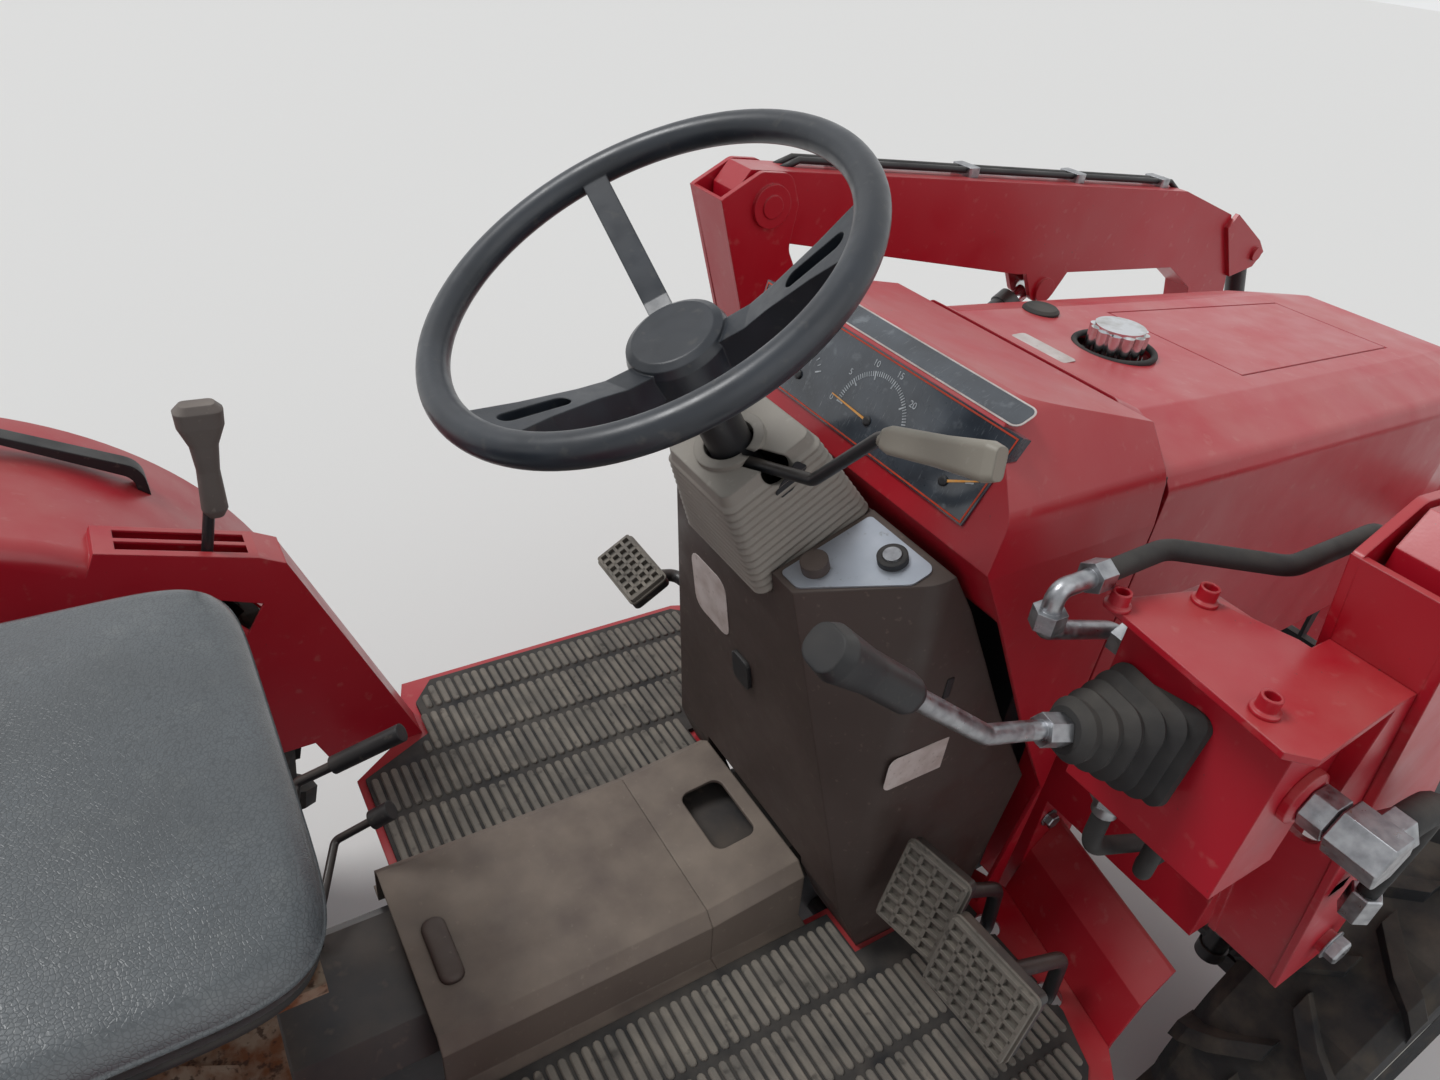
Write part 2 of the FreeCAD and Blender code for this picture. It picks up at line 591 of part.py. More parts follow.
def broad_spoke():
    """A padded spoke that widens to the rim, with a long hollow in its face."""
    side = side_plate([(34, -100), (34, -76), (70, -62), (WHEEL_R - 8, 5), (WHEEL_R, 5), (WHEEL_R, -8),
                       (150, -38),
                       (80, -84), (60, -100)], -40, 40)
    plan = flat_plate([(30, -15), (95, -15), (140, -22), (WHEEL_R, -36), (WHEEL_R, 36), (140, 22), (95, 15),
                       (30, 15)],
                      -120, 20)
    spoke = side.common(plan)
    hollow = soften(box(112, 168, -9, 9, -80, 40), 8, upright)
    lift = side_plate([(34, -84), (70, -72), (WHEEL_R - 8, -5), (WHEEL_R + 9, 2), (WHEEL_R, 60), (34, 60)],
                      -40, 40)
    return spoke.cut(hollow.common(lift))


def narrow_spoke():
    return side_plate([(30, -98), (30, -80), (64, -70), (WHEEL_R - 8, 4), (WHEEL_R, 4), (WHEEL_R, -8),
                       (72, -88), (58, -98)],
                      -12, 12)


def steering_wheel():
    rim_ring = Part.makeTorus(WHEEL_R, 14)
    cap = face([(0, 0, -65), (38, 0, -65), (45, 0, -69), (48, 0, -77), (46, 0, -108), (36, 0, -114),
                (0, 0, -114)])
    parts = [rim_ring, cap.revolve(V(0, 0, 0), V(0, 0, 1), 360)]
    # The wheel's face seen from the seat: degrees from straight ahead, towards the left
    for spoke, deg in ((narrow_spoke(), 75), (broad_spoke(), -45), (broad_spoke(), -165)):
        spoke.rotate(V(0, 0, 0), V(0, 0, 1), deg)
        parts.append(spoke)
    parts.append(cyl((0, 0, RUN_GAP - 120), (0, 0, 1), 18, 10))
    return fuse(parts)


put("steering_wheel", tilt(steering_wheel()))

# Instrument panel let into the cowl
glass = face([(GLASS_LOW[0] + 1, -186, GLASS_LOW[1]), (GLASS_LOW[0] + 1, 186, GLASS_LOW[1]),
              (GLASS_TOP[0] + 1, 198, GLASS_TOP[1]), (GLASS_TOP[0] + 1, -198, GLASS_TOP[1])])
n = V(GLASS_TOP[1] - GLASS_LOW[1], 0, -(GLASS_TOP[0] - GLASS_LOW[0])).normalize()
panel = glass.extrude(n * 12)
panel.translate(n * -4)
put("instrument_panel", panel)
put("cowl", PARTS["cowl"].cut(panel))

# Platforms, mats, guards and tunnel
PLATE = [(490, 140), (1000, 140), (1040, 178), (1180, 178), (1198.5, 226), (1149.5, 446), (1120, 480),
         (1080, 495),
         (600, 495), (560, 380), (490, 330)]
MAT = [(500, 150), (952, 150), (952, 210), (1130, 210), (1130, 390), (1105, 452), (1070, 480), (640, 480),
       (606, 440),
       (606, 372), (500, 322)]
PEDAL_HOLE_X = 1134.0
BRAKE_ARMS = (-258.0, -365.0)
pedal_holes = group([cyl((PEDAL_HOLE_X, y, FLOOR_Z - 10), (0, 0, 1), 17, 30) for y in BRAKE_ARMS])
plate = flat_plate(PLATE, FLOOR_Z - 4, FLOOR_Z)
put("footplates", group([plate, mirror(plate).cut(pedal_holes)]))
mat = flat_plate(MAT, FLOOR_Z + SEAT_GAP, FLOOR_Z + 7)
put("floor_mats", group([mat, mirror(mat).cut(pedal_holes)]))

TUNNEL_REAR_X = 464.0
TUNNEL_SEAM_X = 789.0
TUNNEL = [(-149.6, FLOOR_Z + SEAT_GAP), (-149.6, FLOOR_Z + 4), (-133, FLOOR_Z + 5), (-128, TUNNEL_Z - 14),
          (-112, TUNNEL_Z), (112, TUNNEL_Z), (128, TUNNEL_Z - 14), (133, FLOOR_Z + 5), (149.6, FLOOR_Z + 4),
          (149.6, FLOOR_Z + SEAT_GAP)]
TUNNEL_IN = [(-129, FLOOR_Z - 5), (-124, TUNNEL_Z - 16), (-110, TUNNEL_Z - 4), (110, TUNNEL_Z - 4),
             (124, TUNNEL_Z - 16), (129, FLOOR_Z - 5)]


def section_at(x, outline, rise):
    pts = [V(x, y, z + (rise if z > TUNNEL_Z - 20 else 0)) for y, z in outline]
    return Part.makePolygon(pts + [pts[0]])


put("tunnel_cover", front_plate(TUNNEL, TUNNEL_REAR_X, TUNNEL_SEAM_X).cut(
    front_plate(TUNNEL_IN, TUNNEL_REAR_X - 4, TUNNEL_SEAM_X + 11)))
ramp = loft([section_at(x, TUNNEL, rise) for x,
             rise in ((TUNNEL_SEAM_X + SEAT_GAP, 0), (TUNNEL_SEAM_X + 131, 16))])
ramp_in = loft([section_at(x, TUNNEL_IN, rise) for x,
                rise in ((TUNNEL_SEAM_X - 9, 0), (TUNNEL_SEAM_X + 141, 16))])
mouth = soften(box(TUNNEL_SEAM_X + 51, TUNNEL_SEAM_X + 111, -50, 50, TUNNEL_Z - 19, TUNNEL_Z + 51), 14,
               upright)
put("tunnel_front", ramp.cut(ramp_in).cut(mouth))
guard = Part.makeLoft([Part.makePolygon([V(1150 - s + d, 446, z), V(1156 - s + d, 446, z),
                                         V(1205 - s + d, 226, z),
                                         V(1199 - s + d, 226, z), V(1150 - s + d, 446, z)])
                       for s, d, z in ((0, 0, 440), (0, 0, 475), (0, 24, 540), (0, 60, 580))], True, True)
put("foot_guards", pair(guard))


# Fenders: a curved sheet over the tyre, an inner wall, and a raised lever console
FENDER_IN = 381.0
FENDER_OUT = 690.0
FENDER_TOP = REAR_R + FENDER_R
CONSOLE_W = 61.0
FENDER_ROLL = 24.0


def polar(r, deg):
    a = math.radians(deg)
    return (r * math.cos(a), REAR_R + r * math.sin(a))


def fender_top(x):
    return REAR_R + math.sqrt(FENDER_R ** 2 - x ** 2)


def arc_band(r0, r1, deg0, deg1, y0, y1):
    def at(r, deg):
        x, z = polar(r, deg)
        return V(x, y0, z)
    mid = (deg0 + deg1) / 2
    edges = [Part.Arc(at(r1, deg0), at(r1, mid), at(r1, deg1)).toShape(),
             Part.makeLine(at(r1, deg1), at(r0, deg1)),
             Part.Arc(at(r0, deg1), at(r0, mid), at(r0, deg0)).toShape(),
             Part.makeLine(at(r0, deg0), at(r1, deg0))]
    return Part.Face(Part.Wire(edges)).extrude(V(0, y1 - y0, 0))


def rolled_top(y0):
    """The sheet over the tyre, rolled round a curve into the inner wall."""
    def at(y, r):
        return V(0, y, REAR_R + r)
    top, inner, curve = FENDER_R, FENDER_R - SHEET, FENDER_ROLL
    c = curve * (1 - math.sqrt(0.5))
    small = curve - SHEET
    d = SHEET + small * (1 - math.sqrt(0.5))
    edges = [Part.Arc(at(y0, top - curve), at(y0 + c, top - c), at(y0 + curve, top)).toShape(),
             Part.makeLine(at(y0 + curve, top), at(FENDER_OUT, top)),
             Part.makeLine(at(FENDER_OUT, top), at(FENDER_OUT, inner)),
             Part.makeLine(at(FENDER_OUT, inner), at(y0 + curve, inner)),
             Part.Arc(at(y0 + curve, inner), at(y0 + d, top - d), at(y0 + SHEET, top - curve)).toShape(),
             Part.makeLine(at(y0 + SHEET, top - curve), at(y0, top - curve))]
    sheet = Part.Face(Part.Wire(edges))
    sheet.rotate(V(0, 0, REAR_R), V(0, 1, 0), -68)
    return sheet.revolve(V(0, 0, REAR_R), V(0, 1, 0), 144)


def console():
    z = FENDER_TOP
    y0 = FENDER_IN + SHEET
    body = side_plate([(250, z - 110), (270, z - 67), (430, z - 118), (458, z - 134), (458, z - 200)],
                      FENDER_IN, FENDER_IN + CONSOLE_W)
    hollow = side_plate([(254, z - 160), (272, z - 71), (428, z - 121), (454, z - 136), (454, z - 260)],
                        y0, FENDER_IN + CONSOLE_W - SHEET)
    slots = [box(290, 420, y, y + 17, z - 260, z - 60) for y in (y0 + 8, y0 + 32)]
    return body.cut(group([hollow] + slots))


def fender(with_console):
    y0 = FENDER_IN
    y1 = FENDER_IN + SHEET
    top = rolled_top(y0)
    lip = arc_band(FENDER_R - 22, FENDER_R, 14, 158, FENDER_OUT - SHEET, FENDER_OUT)
    wall = arc_band(60, FENDER_R - FENDER_ROLL, 8, 158, y0, y1)
    wall = wall.cut(box(-FENDER_R - 9, FENDER_R + 9, y0 - 9, y1 + 9, REAR_R - 155, REAR_R + 65))
    foot = FLOOR_Z + SEAT_GAP
    brow = polar(FENDER_R + 82, 39.2)
    low = side_plate([(470, foot), (594, foot), brow, polar(FENDER_R - 53, 32.8)], y0, y1)
    bevel = side_plate([(594, foot), (594 + SHEET, foot), (brow[0] + SHEET, brow[1] + 1), brow], y0, y0 + 49)
    pieces = [top, lip, wall, low, bevel]
    if with_console:
        pieces[0] = top.cut(box(275, 440, y1, y0 + CONSOLE_W - SHEET, REAR_R + 200, FENDER_TOP + 40))
        pieces.append(console())
    return fuse(pieces).cut(across(AXLE_TUBE_R + SEAT_GAP, y0 - 80, y0 + 120, 0, REAR_R))


put("fender_left", fender(True))
put("fender_right", mirror(fender(False)))

GRAB_X = (100.0, 340.0)
GRAB_Y = 600.0
GRAB_RISE = 44.0
arch = []
for grow, radius in ((0, 34), (-12, 22)):
    (xr, _, zr), (xf, _, zf) = [(x, GRAB_Y, fender_top(x)) for x in GRAB_X]
    low = 60
    corners = [(xr - grow, zr - low), (xr - grow + 6, zr + GRAB_RISE + grow),
               (xf + grow - 6, zf + GRAB_RISE + grow),
               (xf + grow, zf - low)]
    wire = rounded([(x, GRAB_Y - 12, z) for x, z in corners], [0, radius, radius, 0])
    arch.append(Part.Face(wire).extrude(V(0, 24, 0)))
handle = arch[0].cut(arch[1])
handle = handle.cut(across(FENDER_R + SEAT_GAP, GRAB_Y - 90, GRAB_Y + 90, 0, REAR_R))
put("grab_handles", pair(handle))

# Seat: base, cushion and back
cushion = box(-20, SEAT_FRONT_X, -247, 247, 886, SEAT_TOP_Z)
cushion = soften(cushion, 60, upright)
cushion = soften(cushion, 14, lambda e: e.BoundBox.ZMin > SEAT_TOP_Z - 1)
put("seat_cushion", cushion)
back = box(0, 62, -235, 235, 0, 330)
back = soften(back, 60, lambda e: lengthwise(e) and e.Vertexes[0].Point.z > 300)
back.rotate(V(0, 0, 0), V(0, 1, 0), -12)
back.translate(V(-66, 0, 900))
put("seat_back", back.cut(box(-20.5, 400, -260, 260, 880, 953)))
pan = box(-60, 370, -225, 225, 874, 885.5)
stand = [box(20, 330, y, y + 40, 850, 874) for y in (-170, 130)]
post = [side_plate([(40, 642), (60, 642), (300, 850), (280, 850)], y, y + 30) for y in (-110, 80)]
post += [side_plate([(280, 642), (300, 642), (60, 850), (40, 850)], y, y + 30) for y in (-140, 110)]
floor = box(-20, 330, -160, 160, 640.5, 648)
put("seat_base", fuse([pan, floor] + stand + post))

# Roll bar
bar = bent_pipe([(-190, -330, 500), (-190, -330, 2090), (-190, 330, 2090), (-190, 330, 500)], 28, 90)
feet = [side_plate([(-218, 480), (-218, 640), (-160, 640), (40, 545), (75, 455), (-60, 400), (-160, 440)],
                   s * 330 - 15, s * 330 + 15).cut(across(AXLE_TUBE_R + SEAT_GAP, -500, 500, 0, REAR_R))
        for s in (-1, 1)]
put("roll_bar", fuse([bar] + feet))

# Rear: lamps, drawbar, links
lamp_x, lamp_z = polar(FENDER_R + 24, 152.8)
lamp = box(lamp_x - 41, lamp_x + 41, FENDER_OUT - 90, FENDER_OUT - 10, lamp_z - 37.5, lamp_z + 37.5)
put("rear_lamps", pair(lamp.cut(across(FENDER_R + SEAT_GAP, FENDER_OUT - 190, FENDER_OUT + 10, 0, REAR_R))))
drawbar = (fuse([box(-420, 60, -32, 32, 322, 344.7), cyl((-420, 0, 322), (0, 0, 1), 32, 22.7)]).cut(
    cyl((-420, 0, 300), (0, 0, 1), 13, 100)))
LINK_EYE_R = 30.0
LINK_EYE_W = 35.0
LINK_EYE_Y = 340.0
LINK_BORE_R = 11.2
LINK_END_Z = 300.0
link_x = LINK_END_X + LINK_EYE_R
y0 = LINK_EYE_Y - LINK_EYE_W / 2
link = [across(13, 130.3, 200, -140, 400), rod((-140, 185, 400), (link_x, LINK_EYE_Y, LINK_END_Z), 14).cut(
    across(LINK_EYE_R - 2, y0 - 40, y0 + LINK_EYE_W + 40, link_x, LINK_END_Z)),
        across(LINK_EYE_R, y0, y0 + LINK_EYE_W, link_x, LINK_END_Z)]
link = fuse(link).cut(across(LINK_BORE_R, y0 - 9, y0 + LINK_EYE_W + 9, link_x, LINK_END_Z))
# Lift arm and rod of each lower link, from a stub on the case
LIFT_STUB = (-130.0, 600.0)
LIFT_END = (-330.0, 565.0)
share = 0.42
hook = (-140 + (link_x + 140) * share, 185 + (LINK_EYE_Y - 185) * share, 400 + (LINK_END_Z - 400) * share)
lift = [across(20, 130.3, 188, *LIFT_STUB), across(30, 164, 188, *LIFT_STUB), across(20, 164, 188, *LIFT_END),
        side_plate([(-124, 628), (-136, 572), (-332, 546), (-328, 584)], 166, 186),
        rod((LIFT_END[0], 176, LIFT_END[1]), hook, 11), Part.makeSphere(19, V(*hook))]
link = fuse([link] + lift)
# Power take-off stub below its shield, and the ears for the top link
CASE_REAR_X = -170.0 - SEAT_GAP
stub = cyl((CASE_REAR_X, 0, 478), (-1, 0, 0), 17.5, 70)
shield = box(-310, CASE_REAR_X, -92, 92, 552, 556)
shield = fuse([shield]
              + [side_plate([(CASE_REAR_X, 430), (CASE_REAR_X, 556), (-310, 556), (-240, 450)], y, y + 4)
                          for y in (-92, 88)])
ears = [side_plate([(CASE_REAR_X, 580), (CASE_REAR_X, 632), (-205, 632), (-240, 606), (-225, 580)], y, y + 9)
        for y in (-32, 23)]
top_pin = across(9.5, -42, 42, -214, 604)
put("hitch", group([drawbar, link, mirror(link), stub, shield, fuse(ears + [top_pin])]))

# Loader masts: two channels, open at the front, on a bracket to each side of the case
REAR_EDGE_TOP = 1068.0
MAST_LEAN = 0.326
MAST_RADII = [6, 18, 20, 20, 30, 90, 12, 6]


WEB_HOLE_Z = 900.0


def mast_rear(z):
    return REAR_EDGE_TOP + (1206 - z) * MAST_LEAN


def mast():
    rear = mast_rear
    outline = [(rear(1206), 1206), (BOOM_X - 20, 1240), (BOOM_X + 30, 1236), (BOOM_X + 48, 1194),
               (BOOM_X + 40, 1130),
               (rear(900) + 150, 900), (rear(640) + 96, 640), (rear(640), 630)]
    plates = []
    for y in (MAST_IN, MAST_OUT - MAST_T):
        edge = rounded([(x, y, z) for x, z in outline], MAST_RADII)
        plates.append(Part.Face(edge).extrude(V(0, MAST_T, 0)))
    web = side_plate([(rear(1206), 1206), (rear(1206) + 8, 1206), (rear(640) + 8, 640), (rear(630), 630)],
                     MAST_IN, MAST_OUT)
    cross = box(1214, 1310, 218, MAST_IN, 640, 745)
    foot = box(1214, 1300, 170.3, 226, 450, 745)
    pin_b = across(16, MAST_IN - 8, MAST_OUT + 10, BOOM_X, BOOM_Z)
    web_hole = cyl((rear(WEB_HOLE_Z) - 40, BOOM_Y, WEB_HOLE_Z), (1, 0, 0), 19, 90)
    pin_l = across(14, MAST_IN - 6, MAST_OUT + 8, *LIFT_BASE)
    heads = [across(30, y, y + 6, BOOM_X, BOOM_Z) for y in (MAST_IN - 6, MAST_OUT)]
    return fuse(plates + [web.cut(web_hole), cross, foot, pin_b, pin_l] + heads)


put("loader_masts", pair(mast()))

# Boom: two box arms joined by a tube.  The arm's outline is a bent knee
PIN_R = 14.0
PIN_HEAD_R = 22.0
RAM_EYE_R = 24.0
LUG_T = 9.0
LIFT_PLAY = 24.0
EAR_IN = 36.0
EAR_T = 12.0
ARM = [(1098, 1212), (1120, 1240), (2108, 1158), (2278, 1104), (2335, 1000), (2590, 240), (2602, 190),
       (2585, 145), (2540, 140),
       (2505, 175), (2225, 960), (2140, 1010), (1705, 1038), (1386, 1098), (1110, 1150), (1098, 1170)]


def arm():
    y0 = BOOM_Y - BOOM_W / 2
    y1 = BOOM_Y + BOOM_W / 2
    a = side_plate(ARM, y0, y1)
    a = a.cut(across(16.5, y0 - 5, y1 + 5, BOOM_X, BOOM_Z))
    x, z = LIFT_EYE
    a = a.cut(across(RAM_EYE_R + LIFT_PLAY, y0 + LUG_T, y1 - LUG_T, x, z))
    shape = side_plate([(x - 64, z + 50), (x + 64, z + 45), (x + 24, z - 20), (x - 24, z - 20)], y0,
                       y0 + LUG_T)
    shape = soften(shape, 20, lambda e: sideways(e) and e.Vertexes[0].Point.z < z)
    far = shape.copy()
    far.translate(V(0, BOOM_W - LUG_T, 0))
    heads = [across(PIN_HEAD_R, y, y + 6, x, z) for y in (y0 - 6, y1)]
    return fuse([a, shape, far] + heads)


def tilt_lugs():
    plate = [(2270, 1080), (2290, 1106), (2400, 1046), (2430, 1020), (2410, 990), (2340, 975)]
    return [side_plate(plate, y, y + 9) for y in (BOOM_Y - 37.5, BOOM_Y + 28.5)] + [
        across(PIN_R, BOOM_Y - 44, BOOM_Y + 44, *TILT_BASE)]


def boom():
    a = arm()
    tube = across(45, -BOOM_Y, BOOM_Y, 2362, 720)
    a = fuse([a] + tilt_lugs())
    return fuse([a, mirror(a), tube])


put("loader_boom", boom())


# Cylinders: barrel with a base eye, rod with an end eye that holds its own stretch of the pin
def ram(a, b, y, barrel, ro, rr, eye_r, wide, end_wide, start):
    ax, az = a
    bx, bz = b
    length = math.hypot(bx - ax, bz - az)
    ux, uz = (bx - ax) / length, (bz - az) / length

    def at(s):
        return (ax + ux * s, y, az + uz * s)
    tube = pipe(at(eye_r - 4), at(barrel), ro, rr + RUN_GAP)
    plug = rod(at(eye_r - 4), at(eye_r + 12), ro)
    gland = pipe(at(barrel - 24), at(barrel), ro + 3, rr + RUN_GAP)
    eye = across(eye_r, y - wide, y + wide, ax, az)
    body = fuse([tube, plug, gland, eye]).cut(across(PIN_R + RUN_GAP, y - 60, y + 60, ax, az))
    shaft = rod(at(start), at(length - eye_r + 4), rr)
    return body, fuse([shaft, across(eye_r, y - end_wide, y + end_wide, bx, bz)])


# Columns: base, eye, barrel end, barrel radius, rod radius, eye radius, half widths of the eyes, rod's inner
# end
LIFT_RAM = (LIFT_BASE, LIFT_EYE, BOOM_Y, 524, 24, 14, RAM_EYE_R, 18, BOOM_W / 2 - LUG_T - RUN_GAP, 42)
TILT_RAM = (TILT_BASE, TILT_EYE, BOOM_Y, 400, 20, 12, RAM_EYE_R - 2, 27, EAR_IN - RUN_GAP, 110)
b, r = ram(*LIFT_RAM)
put("lift_barrels", pair(b))
put("lift_rods", pair(r))
b, r = ram(*TILT_RAM)
put("tilt_barrels", pair(b))
put("tilt_rods", pair(r))

# Bucket: curved shell with ends, ears for the boom and for the rams
BUCKET_OUT = [(2630, 470), (2622, 250), (2640, 90), (2700, 20), (2780, 0), (LIP_X, 0)]
BUCKET_IN = [(LIP_X, 12), (2784, 14), (2712, 34), (2656, 98), (2640, 252), (2646, 470)]


def bucket():
    skin = side_plate(BUCKET_OUT + BUCKET_IN, -BUCKET_HALF, BUCKET_HALF)
    end = side_plate([(2632, 470), (2622, 250), (2640, 90), (2700, 20), (2780, 0), (LIP_X - 30, 0),
                      (LIP_X - 80, 60),
                      (2900, 300), (2700, 470)], BUCKET_HALF - 10, BUCKET_HALF)
    ears = []
    ex, ez = TILT_EYE
    for y in (BOOM_Y - EAR_IN - EAR_T, BOOM_Y + EAR_IN):
        ears.append(side_plate([(2646, 474), (ex + 30, ez), (ex + 22, ez + 24), (ex, ez + 32),
                                (ex - 24, ez + 20),
                                (ex - 42, ez - 60), (2530, 215), (2530, 160), (2580, 145), (2648, 90),
                                (2640, 252)],
                               y, y + EAR_T))
        ears.append(across(PIN_HEAD_R, y - (6 if y < BOOM_Y else -EAR_T),
                           y + (0 if y < BOOM_Y else EAR_T + 6), ex, ez))
    reach = EAR_IN + EAR_T
    pin = across(PIN_R + 1, BOOM_Y - reach, BOOM_Y + reach, BUCKET_X, BUCKET_Z)
    rim_bar = box(2610, 2660, -BUCKET_HALF, BUCKET_HALF, 470, 486)
    half = [end] + ears + [pin]
    return fuse([skin, rim_bar] + half + [mirror(s) for s in half])


put("bucket", bucket())
put("loader_boom", PARTS["loader_boom"].cut(group([across(15.5, -600, 600, BUCKET_X, BUCKET_Z)])))

# Controls
lever = fuse([rod((362, 400.5, 778), (397, 402, 940), 6.5), across(10, 384.3, 407, 362, 778)])
# Range lever grip.  Columns: place along it, half width fore and aft, half width across
GRIP = [(0, 9, 9), (10, 14, 13), (60, 12, 11), (92, 15, 12), (116, 24, 14), (134, 25, 14), (142, 18, 9)]
knob = loft([pad_section(a, b, min(a, b) * 0.8, z) for z, a, b in GRIP])
knob = placed(knob, (396, 402, 900), (1, 0, 0), (5, -1, 140))
side_levers = []
CASE_TOP_Z = 530.0
# Small levers beside the seat.  Columns: x and y where they leave the case, bend, top, stem radius, grip
# length, grip radius
SIDE_LEVERS = [((350, 70), (405, 196, 650), (520, 150, 724), 6, 92, 11),
               ((385, 60), (430, 150, 585), (494, 130, 627), 5, 26, 12)]
for (x, y), bend, top, stem_r, grip_l, grip_r in SIDE_LEVERS:
    along = (V(*top) - V(*bend)).normalize()
    start = V(*top) - along * grip_l
    foot = CASE_TOP_Z + SEAT_GAP
    stem = bent_pipe([(x, y, foot), (x, y, foot + 26), bend, tuple(start + along * 4)], stem_r, 8)
    side_levers.append(fuse([stem, cyl(tuple(start), tuple(along), grip_r, grip_l)]))
put("range_lever", group([fuse([lever, knob])] + side_levers))
grip_from = V(*THROTTLE_PATH[-2]) + V(0, -6, 2)
grip_along = V(*THROTTLE_PATH[-1]) - grip_from
# Throttle grip, a flat paddle.  Columns: place along it, half height, half thickness
PADDLE = [(0, 9, 7), (8, 12, 8), (60, 13, 8.5), (104, 16, 9), (114, 13, 7)]
paddle = loft([pad_section(a, b, b * 0.7, z) for z, a, b in PADDLE])
paddle = placed(paddle, grip_from, (0.3, 0, 1), grip_along)
put("throttle_lever",
    fuse([bent_pipe(THROTTLE_PATH[:-1] + [tuple(grip_from + grip_along * 0.2)], 6, 12), paddle]))

valve = box(985, 1069.7, -500, -350, 930, 1115.7)
put("loader_valve", valve)
cover = flat_plate([(943, -505), (964, -335), (1045, -358), (1069.9, -437), (1069.9, -515), (960, -521)],
                   1116, 1122)
bracket = side_plate([(1070, 1122), (mast_rear(1122) - 0.3, 1122), (mast_rear(980) - 0.3, 980), (1070, 980)],
                     -515, -447)
lip = flat_plate([(1069.9, -515), (1071, -515), (1071, -447), (1069.9, -447)], 1116, 1122)
put("valve_cover", fuse([cover, bracket, lip]))
# Hydraulic hoses from the valve to unions on the right mast.  Each row: the points of one hose's middle line
HOSE_R = 9.0
UNION_Y = -392.0
HOSES = [[(958, -330, 1147), (1030, -330, 1150), (1110, UNION_Y, 1150), (1250, UNION_Y, 1150),
          (1282, UNION_Y, 1050),
          (1282, UNION_Y, 880)],
         [(1010, -385, 900), (1010, -385, 850), (1110, UNION_Y, 808), (1236, UNION_Y, 808)],
         [(1045, -425, 900), (1045, -425, 840), (1130, UNION_Y, 764), (1236, UNION_Y, 764)]]
put("hydraulic_hoses", group([bent_pipe(points, HOSE_R, 32) for points in HOSES]))
riser = bent_pipe([(1000, -350 + SEAT_GAP, 1075), (1000, -330, 1075), (905, -330, 1108), (905, -330, 1147),
                   (946, -330, 1147)],
                  8, 10)
# Hex nuts and adaptors.  Columns: foot point, direction, across flats, length
NUTS = [((940, -330, 1147), (1, 0, 0), 24, 18 - SEAT_GAP), ((905, -330, 1112), (0, 0, 1), 24, 16),
        ((1000, -350 + SEAT_GAP, 1075), (0, 1, 0), 27, 12)]
elbow = fuse([riser] + [placed(hexagon(a, n), p, (0, 0, 1) if d[2] == 0 else (1, 0, 0), d) for p, d, a,
                        n in NUTS])
fittings = [elbow]
for x, y in ((1010, -385), (1045, -425)):
    drop = [placed(hexagon(30, 16), (x, y, 914 - SEAT_GAP), (1, 0, 0), (0, 0, 1)),
            cyl((x, y, 900 + SEAT_GAP), (0, 0, 1), 12, 20)]
    fittings.append(fuse(drop))
bracket_y = -MAST_IN + SEAT_GAP
top_union = [placed(hexagon(24, 28), (1282, UNION_Y, 852 - SEAT_GAP), (1, 0, 0), (0, 0, 1)),
             box(1270, 1294, bracket_y, UNION_Y, 856, 866)]
fittings.append(fuse(top_union))
low_unions = [placed(hexagon(24, 28), (1236 + SEAT_GAP, UNION_Y, z), (0, 0, 1), (1, 0, 0))
              for z in (808, 764)]
low_unions.append(box(1244, 1256, bracket_y, UNION_Y, 752, 820))
fittings.append(fuse(low_unions))
put("hydraulic_fittings", group(fittings))
BELLOWS_BASE = (986.0, -400.0, 1028.0)
BELLOWS_AXIS = (-118, 26, 28)
# Bellows folds.  Columns: height above its foot, half width, corner radius
FOLDS = [(0, 46, 12), (7, 46, 12), (14, 38, 16), (22, 44, 20), (30, 35, 18), (38, 40, 22), (46, 31, 20),
         (54, 35, 24), (62, 27, 20),
         (70, 30, 24), (78, 23, 20), (86, 25, 22), (94, 18, 16)]
bellows = loft([pad_section(a, a, r, z) for z, a, r in FOLDS])
bellows = placed(bellows, BELLOWS_BASE, (0, 1, 0), BELLOWS_AXIS)
put("lever_bellows", bellows.cut(box(984.7, 1200, -600, -200, 900, 1300)))
stick = [(885, -377.5, 1052), (862, -373, 1057), (817, -370, 1070), (735, -360, 1135), (716, -357, 1150)]
nut_foot = V(*BELLOWS_BASE) + V(*BELLOWS_AXIS).normalize() * (FOLDS[-1][0] + SEAT_GAP)
nut = placed(hexagon(24, 22), nut_foot, (0, 1, 0), BELLOWS_AXIS)
# Loader lever grip.  Columns: place along it, half width, half thickness
STICK_GRIP = [(0, 13, 12), (6, 15, 14), (50, 15, 14), (86, 19, 17), (96, 16, 14)]
grip = loft([pad_section(a, b, b * 0.85, z) for z, a, b in STICK_GRIP])
grip = placed(grip, (735, -360, 1135), (0, 1, 0), (-77, 10, 62))
put("loader_joystick", fuse([bent_pipe(stick, 8, 14), nut, grip]))


# Pedals: two brake pedals side by side on the right, the clutch pedal on the left
BRAKE_SHAFT = (980.0, 425.0)


def pad(x, y, z, width, height, yaw, lean):
    """A pedal plate seen by the foot: turned by yaw, leaning back from upright."""
    plate = box(-5, 7, -width / 2, width / 2, -height / 2, height / 2)
    plate = soften(plate, 8, lengthwise)
    plate.rotate(V(0, 0, 0), V(0, 1, 0), 90 - lean)
    plate.rotate(V(0, 0, 0), V(0, 0, 1), yaw)
    plate.translate(V(x, y, z))
    return plate


# Brake pads.  Columns: arm y, pad x, pad y, width, height, yaw, lean
BRAKE_PADS = [(BRAKE_ARMS[0], 978, -262, 84, 112, 10, 75), (BRAKE_ARMS[1], 962, -372, 116, 100, 3, 80)]


